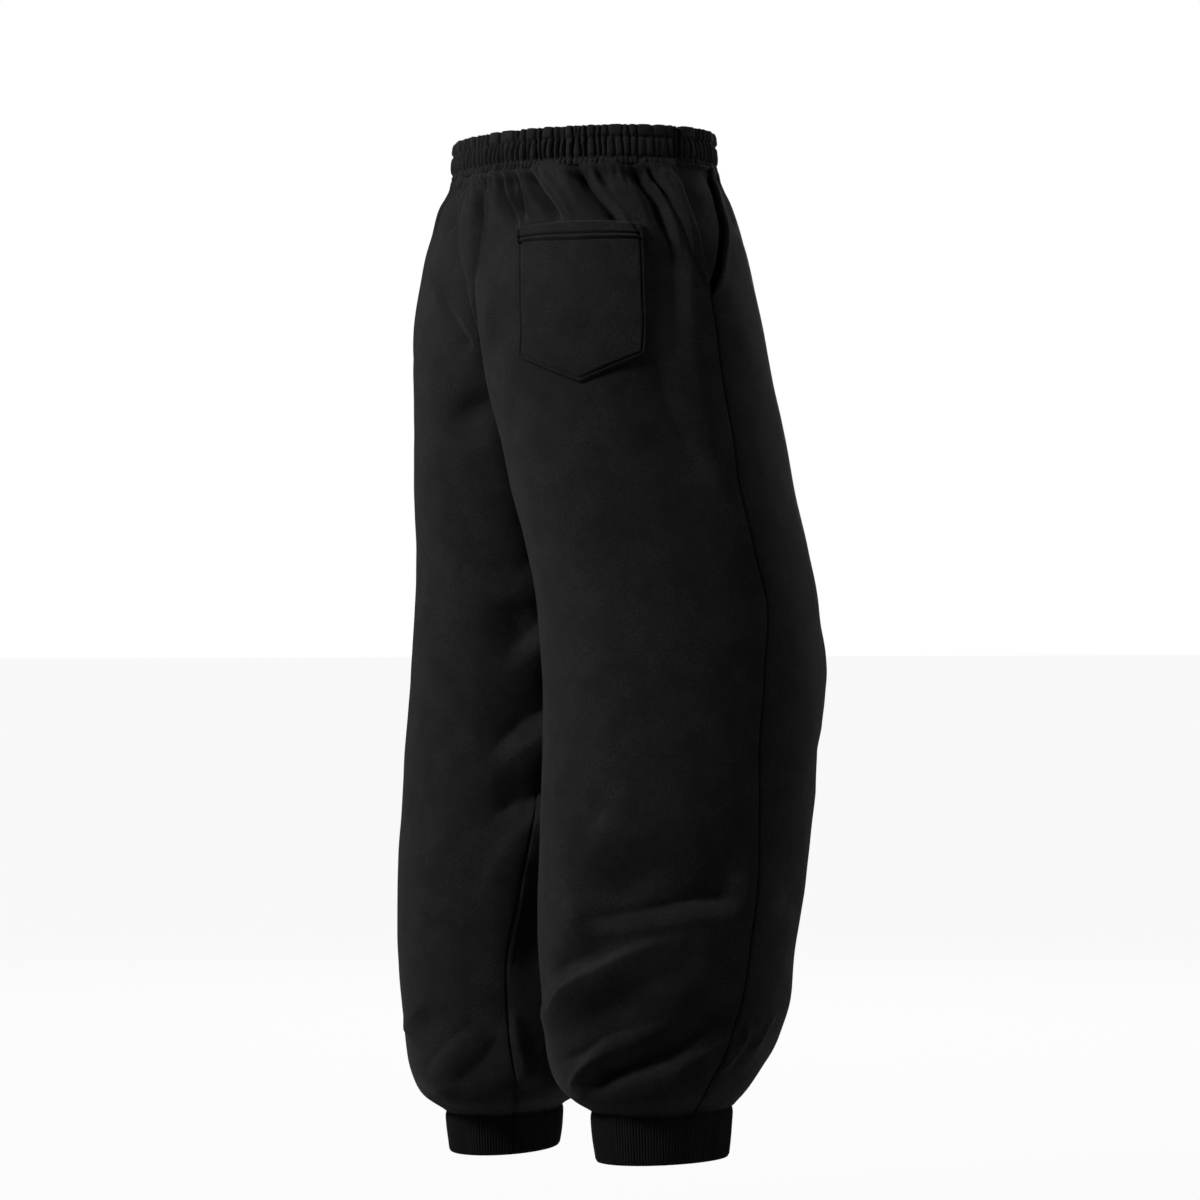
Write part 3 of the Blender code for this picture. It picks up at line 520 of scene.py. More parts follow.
def gather_lift(drops, girths, seed):
    """Short gathers right below the waistband and, smaller, above the cuff."""
    rng = np.random.default_rng(seed)
    lift = np.zeros(drops.shape)
    for from_end, gathers in ((drops - BODY_TOP, TOP_GATHERS), (LEG_FOOT - drops, FOOT_GATHERS)):
        place, last, spacing, depths, lengths, halves, lean = gathers
        while place < last:
            place += rng.uniform(*spacing)
            depth = rng.uniform(*depths) * MM
            length = rng.uniform(*lengths)
            half = rng.uniform(*halves)
            off = girths - place - rng.uniform(-lean, lean) * from_end
            lift -= depth * np.exp(-np.abs(off) / half) * bump(np.maximum(from_end, 0), length)
    return lift


def slow_waves(drops, girths, seed):
    """The faint unevenness of heavy fleece that hangs free."""
    rng = np.random.default_rng(seed)
    lift = np.zeros(drops.shape)
    for size, height in WAVES:
        for _ in range(WAVES_EACH):
            angle = rng.uniform(0, math.pi)
            turn = 2 * math.pi / (size * rng.uniform(*WAVE_SPREAD))
            phase = rng.uniform(0, 2 * math.pi)
            place = drops * math.cos(angle) + girths * math.sin(angle)
            lift += height * MM / WAVES_EACH * np.sin(turn * place + phase)
    return lift


def seam_lift(distance):
    """A sewn line: a narrow groove in a soft hollow."""
    return -SEAM_DEPTH * bump(distance, SEAM_HALF) - SEAM_HOLLOW * bump(distance, SEAM_HOLLOW_HALF)


def rolled(distance, depth, width):
    """How far a rolled edge sinks, at a distance inside it."""
    return depth * ramp(width - distance, 0.0, width)


def pocket_place(down, across):
    """Drop and girth of a place on the patch pocket, from shares of its height and width."""
    seam = POCKET_FROM_SEAM[0] + down * (POCKET_FROM_SEAM[1] - POCKET_FROM_SEAM[0])
    point = POCKET_POINT * (1 - np.abs(2 * across - 1))
    arch = POCKET_ARCH * (1 - (2 * across - 1) ** 2) * (1 - down)
    return POCKET_TOP - arch + down * (POCKET_SIDE + point + arch), seam + across * POCKET_WIDTH


def under_pocket(drops, girths):
    """1 where the patch pocket holds the cloth flat, 0 away from it."""
    down = (drops - POCKET_TOP) / (POCKET_SIDE + POCKET_POINT * 0.5)
    seam = POCKET_FROM_SEAM[0] + np.clip(down, 0, 1) * (POCKET_FROM_SEAM[1] - POCKET_FROM_SEAM[0])
    across = girths - seam
    inside = np.minimum(across, POCKET_WIDTH - across)
    point = POCKET_POINT * (1 - np.abs(2 * across / POCKET_WIDTH - 1))
    inside = np.minimum(inside, drops - POCKET_TOP + POCKET_ARCH_HELD)
    inside = np.minimum(inside, POCKET_TOP + POCKET_SIDE + point - drops)
    return ramp(inside, *POCKET_HOLD)


# ---------------------------------------------------------------- grids of the panels
FINE_OFFSETS = (0.0, 0.0005, 0.0010, 0.0015, 0.0021, 0.0029, 0.0040, 0.0056)
PANEL_COLUMNS = 171
# Distance between two rows of a panel, at some levels.
ROW_SPACING = ((0.0193, 0.0016), (0.10, 0.0024), (0.24, 0.0034), (0.60, 0.0034), (0.70, 0.0024),
               (0.90, 0.0021), (0.9095, 0.0015))
TUCK_TOP = ((0.0060, 0.0024), (0.0024, 0.0018))       # up behind the band: rise, set in
TUCK_FOOT = ((0.0018, 0.985), (0.0042, 0.975))        # down inside the cuff: fall, share of the cuff
TUCK_CLOTH = 0.0012


def edge_spaced(start, end, count, fine):
    """Places from start to end, with the given fine offsets from either end."""
    fine = np.array(fine)
    inner = np.linspace(start + fine[-1], end - fine[-1], count - 2 * len(fine) + 2)
    return np.concatenate([start + fine[:-1], inner, end - fine[:-1][::-1]])


def panel_drops():
    """Levels of the panels' rows, closer together where the cloth is gathered or folded."""
    levels = [BODY_TOP]
    table = np.array(ROW_SPACING)
    while levels[-1] < LEG_FOOT - ROW_SPACING[-1][1]:
        levels.append(levels[-1] + float(np.interp(levels[-1], table[:, 0], table[:, 1])))
    levels[-1] = LEG_FOOT
    if len(levels) % 2 == 0:
        levels.insert(1, (levels[0] + levels[1]) / 2)
    return np.array(levels)


def panel_form(leg, name, drops):
    """A panel before its folds: girths, points, normals, the girths of the leg's two centre edges at
    each level, and which places lie over the other half."""
    half = SEAM_GAP / 2
    rows = []
    for drop in drops:
        _, girth, middle = carried_line(drop)
        last = middle
        start, end = girth[0] + half, min(-half, -opening_at(drop))
        if name == "back":
            last = middle + seat_swing(drop) * (1 if leg == "right" else -1)
            start, end = half, last - half
        girths = edge_spaced(start, end, PANEL_COLUMNS, FINE_OFFSETS)
        rows.append((girths, *form_row(drop, girths, leg), girth[0], last, middle))
    girths, points, normals, first, last, middle = (np.array(column) for column in zip(*rows))
    return girths, points, normals, first[:, None], last[:, None], girths > middle[:, None]


def opening_edge(name, levels, girths):
    """Lift of a panel's edge at the side pocket's opening."""
    if name == "back":
        height, place, half = BACK_EDGE
        return height * bump(girths - place, half) - rolled(girths, *BACK_ROLL)
    edge = -np.array([opening_at(level) for level in levels[:, 0]])[:, None] - girths
    facing = ramp(edge - FACING_WIDTH, *FACING_STEP)
    depth, inside, half = FACING_GROOVE
    sewn = depth * bump(edge - FACING_WIDTH + inside, half)
    gape = FACING_GAPE * np.exp(-edge / GAPE_REACH) * ramp(levels, *GAPE_BEGINS)
    return FACING_LIFT * facing - sewn - rolled(edge, *FACING_ROLL) + gape


def leg_panels(leg):
    """Outer and inner points of the front and the back panel of one leg."""
    drops = panel_drops()
    levels = np.repeat(drops[:, None], PANEL_COLUMNS, axis=1)
    is_tube = levels >= CROTCH_DROP
    result = {}
    for name in ("front", "back"):
        girths, points, normals, first, last, over = panel_form(leg, name, drops)
        lift = folds_lift(leg, levels, girths, first, last)
        lift += gather_lift(levels, girths, GATHER_SEED[leg])
        lift += slow_waves(levels, girths, WAVE_SEED[leg])
        free = ramp(levels, BODY_TOP, BODY_TOP + TOP_FREE)
        lift = np.where(lift > 0, lift * free, lift * (TOP_TROUGHS + (1 - TOP_TROUGHS) * free))
        lift += TOP_EDGE_PROUD * np.exp(-(levels - BODY_TOP) / TOP_EDGE_HEIGHT)
        if leg == "right" and name == "back":
            held = under_pocket(levels, girths)
            lift = lift * (1 - held) - UNDER_POCKET_SINK * held
        centre = np.minimum(girths - first, last - girths)
        seam_half = CENTRE_SEAM_HALF if name == "front" else SEAT_SEAM_HALF[leg]
        lift += np.where(is_tube, seam_lift(centre), -CENTRE_SEAM_DEPTH * np.exp(-centre / seam_half))
        is_open = ramp(OPENING_FOOT - levels, 0.0, OPENING_FADE)
        lift += is_open * opening_edge(name, levels, girths)
        lift += (1 - is_open) * seam_lift(girths)
        ways = normals.copy()
        ways[..., 0] *= np.where(is_tube, 1.0, 1 - bump(points[..., 0], PLANE_HOLD))
        result[name] = finish_panel(points + ways * lift[..., None], normals, leg, over, is_tube)
    return result


def finish_panel(outer, normals, leg, over, is_tube):
    """Keep a panel on its own side, tuck its ends into band and cuff, and give it its inner face,
    closed against the other leg's along the middle plane."""
    more = (len(TUCK_TOP), len(TUCK_FOOT))
    top = []
    for rise, inset in TUCK_TOP:
        row = outer[0] - normals[0] * inset + np.array([0, 0, rise])
        row[:, 0] += bump(outer[0, :, 0], PLANE_HOLD) * (outer[0, :, 0] - row[:, 0])
        top.append(row)
    s = dict(zip(SECTION_COLUMNS, SECTIONS[-1]))
    centre = np.array([-s["out"] if leg == "right" else s["out"], -s["forward"], 0])
    flat = (outer[-1] - centre) * np.array([1, 1, 0])
    foot = []
    for fall, share in TUCK_FOOT:
        foot.append(outer[-1] - flat * (1 - share * CUFF_HALF[0] / s["half_width"]) - np.array([0, 0, fall]))
    outer = np.vstack([np.array(top), outer, np.array(foot)])
    normals = np.pad(normals, (more, (0, 0), (0, 0)), mode="edge")
    over = np.pad(over, (more, (0, 0)), mode="edge")
    above = np.pad(~is_tube[:, 0], more, mode="edge")
    thick = np.full(outer.shape[:2], CLOTH)
    thick[:more[0]] = TUCK_CLOTH
    inner = outer - normals * thick[..., None]
    inner[-more[1]:] = outer[-more[1]:] - normals[-1] * np.array([1, 1, 0]) * TUCK_CLOTH
    plane = SEAM_GAP / 2
    for grid in (outer, inner):
        if leg == "left":
            grid[..., 0] = np.maximum(grid[..., 0], plane)
        else:
            grid[..., 0] = np.where(over, grid[..., 0], np.minimum(grid[..., 0], -plane))
    for column in (0, -1):
        meets = above & (np.abs(outer[:, column, 0]) < 2 * SEAM_GAP)
        inner[meets, column, 0] = -plane
    return outer, inner


# ---------------------------------------------------------------- making meshes
STITCH_SIDES = 6
# Along one stitch: share of its length, share of its radius, and how many radii it is sunk.
STITCH_STATIONS = ((-0.5, 0.35, 1.1), (-0.34, 0.9, 0.35), (0.0, 1.0, 0.15), (0.34, 0.9, 0.35),
                   (0.5, 0.35, 1.1))


def new_object(name, verts, faces, material, smooth=True):
    """A mesh object in the scene."""
    mesh = bpy.data.meshes.new(name)
    mesh.from_pydata(np.asarray(verts, dtype=float).tolist(), [], faces)
    mesh.materials.append(material)
    if smooth:
        mesh.shade_smooth()
    mesh.update()
    return add_to_scene(name, mesh)


def add_to_scene(name, data):
    """An object in the scene with this data."""
    made = bpy.data.objects.new(name, data)
    bpy.context.scene.collection.objects.link(made)
    return made


def shell(name, outer, inner, material, is_ring=False):
    """A closed thin shell: a fine outer grid, and an inner face of every second row and column."""
    rows, columns = outer.shape[:2]
    inner = inner[::2, ::2]
    verts = np.vstack([outer.reshape(-1, 3), inner.reshape(-1, 3)])
    base = rows * columns
    in_rows, in_columns = inner.shape[:2]

    def o(j, i):
        return j * columns + i % columns

    def n(j, i):
        return base + j * in_columns + i % in_columns

    spans = columns if is_ring else columns - 1
    in_spans = in_columns if is_ring else in_columns - 1
    faces = []
    for j in range(rows - 1):
        faces += [(o(j, i), o(j, i + 1), o(j + 1, i + 1), o(j + 1, i)) for i in range(spans)]
    for j in range(in_rows - 1):
        faces += [(n(j, i), n(j + 1, i), n(j + 1, i + 1), n(j, i + 1)) for i in range(in_spans)]
    last = rows - 1
    in_last = in_rows - 1
    for k in range(in_spans):
        i = 2 * k
        faces.append((o(0, i + 2), o(0, i + 1), o(0, i), n(0, k), n(0, k + 1)))
        faces.append((o(last, i), o(last, i + 1), o(last, i + 2), n(in_last, k + 1), n(in_last, k)))
    if not is_ring:
        end = columns - 1
        in_end = in_columns - 1
        for k in range(in_last):
            j = 2 * k
            faces.append((o(j, 0), o(j + 1, 0), o(j + 2, 0), n(k + 1, 0), n(k, 0)))
            faces.append((o(j + 2, end), o(j + 1, end), o(j, end), n(k, in_end), n(k + 1, in_end)))
    middle = faces[(rows // 2) * spans + spans // 3]
    a, b, c = (verts[k] for k in middle[:3])
    out = outer[rows // 2, spans // 3] - verts[n(in_rows // 2, spans // 6)]
    if np.dot(np.cross(b - a, c - a), out) < 0:
        faces = [face[::-1] for face in faces]
    return new_object(name, verts, faces, material)


def stitches(name, lines, pitch, length, radius, material):
    """Rows of small raised stitches. lines: (points, normals) of each row on the cloth."""
    verts = []
    faces = []
    ring = range(STITCH_SIDES)
    for points, normals in lines:
        steps = np.linalg.norm(np.diff(points, axis=0), axis=1)
        along = np.concatenate([[0.0], np.cumsum(steps)])
        count = max(1, int(along[-1] / pitch))
        for k in range(count):
            middle = (k + 0.5) * along[-1] / count
            stations = []
            for share, fat, sunk in STITCH_STATIONS:
                s = np.clip(middle + share * length, 0, along[-1])
                p = np.array([np.interp(s, along, points[:, c]) for c in range(3)])
                n = np.array([np.interp(s, along, normals[:, c]) for c in range(3)])
                n /= np.linalg.norm(n)
                stations.append((p - n * (radius * sunk), n, fat * radius))
            direction = stations[-1][0] - stations[0][0]
            direction /= max(np.linalg.norm(direction), 1e-9)
            base = len(verts)
            for p, n, r in stations:
                side = np.cross(direction, n)
                for q in ring:
                    a = 2 * math.pi * q / STITCH_SIDES
                    verts.append(p + r * (math.cos(a) * side + math.sin(a) * n))
            end = base + (len(stations) - 1) * STITCH_SIDES
            for a in range(base, end, STITCH_SIDES):
                b = a + STITCH_SIDES
                for q in ring:
                    w = (q + 1) % STITCH_SIDES
                    faces.append((a + q, b + q, b + w, a + w))
            faces.append(tuple(base + q for q in ring))
            faces.append(tuple(end + q for q in reversed(ring)))
    return new_object(name, verts, faces, material)


# ---------------------------------------------------------------- waistband
BAND_COLUMNS = 1440
BAND_ROWS = 33
BAND_SEED = 41
STITCH_ROWS = (0.0072, -0.0115)       # heights of the two rows of stitches
STITCH_SQUEEZE = (0.0017, 0.0016)     # depth and half height of the groove they pull
BAND_STITCH = (0.0031, 0.0024, 0.00033)         # pitch, length and radius
BAND_BELLY = (0.0011, 0.0021, 0.0187)  # between the rows: height, its middle's fall, length of a wave
BELLY_LEAST = 0.02
SMOOTH_PATCH = (math.radians(161), math.radians(176))    # the gathers are shallow here
SMOOTH_FADE = (0.03, 0.02)            # radians outside and inside that patch
SMOOTH_SHARE = 0.45
# Gathers: ranges of each one's depth, half width and tilt as shares, and the share of a spacing that
# the last one keeps from the first; least and most spacing; depth and half width of the deepest.
GATHER_RANGES = ((0.45, 1.0), (0.7, 1.35), (-1, 1))
LAST_SPACING = 0.6
MAIN_GATHERS = (0.0052, 0.0090)
HEADER_GATHERS = (0.016, 0.034)
RUFFLE_GATHERS = (0.0036, 0.0066)
INSIDE_GATHERS = (0.0060, 0.0100)
HEADER_SIZE = (0.0044, 0.0013)
MAIN_SIZE = (0.0074, 0.0013)
RUFFLE_SIZE = (0.0035, 0.0010)
INSIDE_SIZE = (-0.0012, 0.0015)
HEADER_DEEPER = 0.66                  # the header takes on the main gathers of at least this share
INSIDE_CALM = 0.8                     # at the edges
INSIDE_LEAST = 0.0005
INSIDE_SET = 0.0006
BAND_THINNEST = 0.0010
EDGE_THINNER = 0.0012                 # the band's and the cuffs' cloth, at their free edges
GATHER_POWER = 1.25
GATHER_LEAN = (0.0011, 260, 0.02)     # sideways: sway, its rate with height, and slope
GATHERS_HELD = 0.45                   # share of their depth that a row of stitches takes away
HEADER_BLEND = 0.0016                 # half the height over which the gathers change at each row
RUFFLE_BLEND = 0.0014
HEADER_PROUD = 0.0009
RUFFLE_SINK = 0.0005
BAND_EDGE = (0.0150, 0.0190)          # distances from the middle between which the edges round off
TOP_ROUNDING = 0.0009
FOOT_ROUNDING = 0.0004
BAND_WAVE = (0.0004, 0.047, 120)      # height, length, and rate of its shift with height
# Uneven edges of the header and the ruffle: height as a share, half width, where it begins.
HEADER_WAVE = (0.0007, 0.0026, 0.010)
RUFFLE_WAVE = (0.0006, 0.0022, 0.014)


def oval_by_length(half, count, steps=7200):
    """Angles at equal distances round an oval, the distances, and its length."""
    angle = np.linspace(0, 2 * math.pi, steps + 1)
    line = np.stack([half[0] * np.cos(angle), half[1] * np.sin(angle)], axis=1)
    length = np.concatenate([[0.0], np.cumsum(np.hypot(*np.diff(line, axis=0).T))])
    at = np.arange(count) / count * length[-1]
    return np.interp(at, length, angle), at, length[-1]


def on_oval(half, angle):
    """Points of an oval and the directions straight out from them."""
    line = np.stack([half[0] * np.cos(angle), half[1] * np.sin(angle)], axis=1)
    out = np.stack([np.cos(angle) / half[0], np.sin(angle) / half[1]], axis=1)
    return line, out / np.linalg.norm(out, axis=1, keepdims=True)


def gather_marks(rng, total, low, high):
    """Irregular places round the band, with each one's depth, half width and tilt as shares."""
    marks = []
    place = 0.0
    while place < total - low * LAST_SPACING:
        marks.append((place, *(rng.uniform(*limits) for limits in GATHER_RANGES)))
        place += rng.uniform(low, high)
    return marks


def gather_profile(at, total, marks, depth, half, lean):
    """Depth of a set of gathers at each distance round the band."""
    profile = np.zeros(len(at))
    for place, share, wide, tilt in marks:
        off = (at - place - lean * tilt + total / 2) % total - total / 2
        profile -= depth * share * np.exp(-(np.abs(off) / (half * wide)) ** GATHER_POWER)
    return profile


def band_grid():
    """Outer and inner points of the gathered waistband, and its stitch lines."""
    middle = [(a + b) / 2 for a, b in zip(BAND_TOP, BAND_FOOT)]
    angle, at, total = oval_by_length(middle, BAND_COLUMNS)
    rng = np.random.default_rng(BAND_SEED)
    main_marks = gather_marks(rng, total, *MAIN_GATHERS)
    header = [mark for mark in main_marks if mark[1] > HEADER_DEEPER]
    header += gather_marks(rng, total, *HEADER_GATHERS)
    ruffle = gather_marks(rng, total, *RUFFLE_GATHERS)
    inside = gather_marks(rng, total, *INSIDE_GATHERS)
    (start, end), (before, after) = SMOOTH_PATCH, SMOOTH_FADE
    patch = ramp(angle - start, -before, after) * (1 - ramp(angle - end, -after, before))
    calm = 1 - SMOOTH_SHARE * patch
    _, direction = on_oval(middle, angle)
    edges = []
    for sign, marks, (size, half, start) in ((1, header, HEADER_WAVE), (-1, ruffle, RUFFLE_WAVE)):
        edges.append((sign, size * gather_profile(at, total, marks, sign, half, 0.0), start))
    sway, rate, slope = GATHER_LEAN
    rise, fall, wave = BAND_BELLY
    ripple, length, shift = BAND_WAVE
    heights = np.linspace(BAND_HEIGHT / 2, -BAND_HEIGHT / 2, BAND_ROWS)
    outer, inner = [], []
    for height in heights:
        lean = sway * math.sin(height * rate) + slope * height
        in_header = float(ramp(height - STITCH_ROWS[0], -HEADER_BLEND, HEADER_BLEND))
        in_ruffle = float(ramp(STITCH_ROWS[1] - height, -RUFFLE_BLEND, RUFFLE_BLEND))
        in_middle = (1 - in_header) * (1 - in_ruffle)
        held = sum(float(bump(height - row, STITCH_SQUEEZE[1])) for row in STITCH_ROWS)
        end = float(ramp(abs(height), *BAND_EDGE))
        lift = np.zeros(BAND_COLUMNS)
        for share, marks, size in ((in_header, header, HEADER_SIZE), (in_middle, main_marks, MAIN_SIZE),
                                   (in_ruffle, ruffle, RUFFLE_SIZE)):
            lift += share * gather_profile(at, total, marks, *size, lean)
        lift *= calm * (1 - GATHERS_HELD * min(held, 1.0))
        if in_middle > BELLY_LEAST:
            lift += in_middle * rise * math.cos(math.pi * (height + fall) / wave)
        lift += HEADER_PROUD * in_header - RUFFLE_SINK * in_ruffle
        lift -= STITCH_SQUEEZE[0] * held
        lift -= (TOP_ROUNDING if height > 0 else FOOT_ROUNDING) * end * end
        lift += ripple * np.sin(at * 2 * math.pi / length + height * shift)
        level = np.full(BAND_COLUMNS, height)
        for sign, uneven, start in edges:
            level += uneven * float(ramp(sign * height, start, BAND_EDGE[1]))
        in_lift = gather_profile(at, total, inside, *INSIDE_SIZE, lean) * (1 - end * INSIDE_CALM)
        in_lift = np.maximum(in_lift * calm, -INSIDE_LEAST)
        thick = BAND_CLOTH - INSIDE_SET - EDGE_THINNER * end
        behind = np.minimum(-(thick + in_lift), lift - BAND_THINNEST)
        down = 0.5 - height / BAND_HEIGHT
        place, _ = on_oval([a + down * (b - a) for a, b in zip(BAND_TOP, BAND_FOOT)], angle)
        for rows, off in ((outer, lift), (inner, behind)):
            rows.append(np.column_stack([place + direction * off[:, None], level]))
    outer = np.array(outer)
    out = np.column_stack([direction, np.zeros(len(direction))])
    lines = []
    for row in STITCH_ROWS:
        k = int(np.argmin(np.abs(heights - row)))
        lines.append((np.vstack([outer[k], outer[k, :1]]), np.vstack([out, out[:1]])))
    return outer, np.array(inner), lines


# ---------------------------------------------------------------- cuffs
CUFF_RIBS = 136
RIB_SEGMENTS = 6
CUFF_ROWS = 21
RIB_DEPTH = 0.0012
RIB_POWER = 0.8
RIBS_END = 0.6                        # share of their depth that the free edge takes away
RIB_UNEVEN = (0.75, 1.15)
RIB_SEED = {"right": 3, "left": 8}
CUFF_START = -0.05                    # a share of its height runs up behind the leg's hem
CUFF_FOOT = (0.955, 1.0)              # shares of its height between which it rounds off
CUFF_TOP = (-0.16, 0.02)
CUFF_BELLY = 0.0008
CUFF_ROUNDING = 0.0011
CUFF_TUCK = 0.0016
CUFF_SEAM = ((-0.0012, 0.0008), (0.0004, 0.0040))        # height and half width of groove and ridge
CUFF_WAVE = (0.00054, 3, 4.0)         # height, waves round it, and shift down it
CUFF_WAVE_START = {"right": 3, "left": 1}


def cuff_grid(leg):
    """Outer and inner points of one rib cuff."""
    s = dict(zip(SECTION_COLUMNS, SECTIONS[-1]))
    turn = math.radians(s["turn"])
    mirror = 1 if leg == "right" else -1
    lowered = LEFT_HANGS if leg == "left" else 0.0
    count = CUFF_RIBS * RIB_SEGMENTS
    angle, at, total = oval_by_length(CUFF_HALF, count)
    rib = (0.5 + 0.5 * np.cos(2 * math.pi * np.arange(count) / RIB_SEGMENTS)) ** RIB_POWER
    rng = np.random.default_rng(RIB_SEED[leg])
    uneven = np.repeat(rng.uniform(*RIB_UNEVEN, CUFF_RIBS), RIB_SEGMENTS)
    seam_at = float(np.interp(-math.radians(s["inseam"]) % (2 * math.pi), angle, at))
    from_seam = np.abs((at - (total - seam_at) + total / 2) % total - total / 2)
    ripple, waves, shift = CUFF_WAVE
    outer, inner = [], []
    for share in np.linspace(CUFF_START, 1.0, CUFF_ROWS):
        scale = 1 - (1 - CUFF_TAPER) * share
        place, out = on_oval((CUFF_HALF[0] * scale, CUFF_HALF[1] * scale), angle)
        foot = float(ramp(share, *CUFF_FOOT))
        lift = -RIB_DEPTH * (1 - rib) * uneven * (1 - RIBS_END * foot)
        lift += CUFF_BELLY * math.sin(math.pi * min(max(share, 0), 1)) - CUFF_ROUNDING * foot
        lift -= CUFF_TUCK * float(ramp(-share, *CUFF_TOP))
        lift += sum(height * bump(from_seam, half) for height, half in CUFF_SEAM)
        lift += ripple * share * np.sin(angle * waves + shift * share + CUFF_WAVE_START[leg])
        thick = CUFF_CLOTH - EDGE_THINNER * foot
        for rows, line in ((outer, place + out * lift[:, None]), (inner, place - out * thick)):
            x = -s["out"] + line[:, 0] * math.cos(turn) + line[:, 1] * math.sin(turn)
            y = -line[:, 0] * math.sin(turn) + line[:, 1] * math.cos(turn)
            z = -LEG_FOOT - SEAM_GAP - CUFF_SHOWS[leg] * share - lowered - HEM_TILT * y
            rows.append(np.stack([mirror * x, -s["forward"] + y, z], axis=1))
    return np.array(outer), np.array(inner)


# ---------------------------------------------------------------- patch pocket
POCKET_ROWS = 125
POCKET_COLUMNS = 121
POCKET_FINE = (0.0, 0.0006, 0.0012, 0.0020, 0.0028, 0.0036, 0.0046)
POCKET_LIFT = 0.0040                  # of its outer face above the panel's form
POCKET_INNER = 0.0012
POCKET_CLOTH = 0.0016
POCKET_MOUTH = 0.0020                 # the top edge stands off this much further,
MOUTH_REACH = (0.024, 0.020)          # down to this far outside and inside
MOUTH_POWERS = (0.7, 1.5)             # of its shape across and down
FORM_TABLE = ((0.006, 0.004, 90), (0.040, 0.225, 140))   # drops past top and point; girths; counts
POCKET_ROLL = (0.0026, 0.0016)
POCKET_TOP_ROLL = (0.0016, 0.0014)
POCKET_BELLY = 0.0008
# Faint waves: how many, height, shortest and longest, and the distance from its edges they need.
POCKET_WAVES = (6, 0.00016, (0.03, 0.06), (0.002, 0.012))
POCKET_SEED = 17
HEM_ROWS = 31
HEM_SPARE = 0.002                     # its fine rows go on this far past it
HEM_DEPTH = 0.0140
HEM_LIFT = 0.0024
HEM_STEP = (-0.0010, 0.0006)
HEM_STITCHES = (0.0098, 0.0138)       # rows of stitches below the pocket's top edge
HEM_GROOVE = (0.0026, 0.0009)
EDGE_STITCH = 0.0032                  # row of stitches inside the pocket's other edges
EDGE_GROOVE = (0.0028, 0.0008)
EDGE_STITCH_TOP = 0.006
HEM_STITCH_START = (0.002, 0.005)     # from a side edge
EDGE_STITCH_START = (0.004, 0.012)    # from the top edge
POCKET_STITCH = (0.0029, 0.0022, 0.00030)
TACK_GROOVE = (0.0024, 0.0010)
TACK_PLACES = ((0.0085, 0.42), (0.0046, 0.0))            # inside the front and the back edge, and lean
TACK_PAST_HEM = 0.0020
TACK_END = 0.0012
TACK_ROWS = (2, 24)                   # bar tacks: grid rows they run between,
TACK_COLUMNS = ((-6, -6), (11, 5))    # and their columns at either end
TACK_STITCHES = 15
TACK_STITCH = (0.0030, 0.0028, 0.00034)
TACK_HALF = 0.0014
TACK_PROUD = 0.0004
TACK_SLOPE = 0.0002


def form_table(drops, girths):
    """Points and normals of the right leg's form on a grid, to look up between."""
    rows = [form_row(float(drop), girths, "right") for drop in drops]
    return np.array([row[0] for row in rows]), np.array([row[1] for row in rows])


def groove(distance, size):
    """A groove of this depth and half width, at a distance from its middle."""
    return size[0] * bump(distance, size[1])


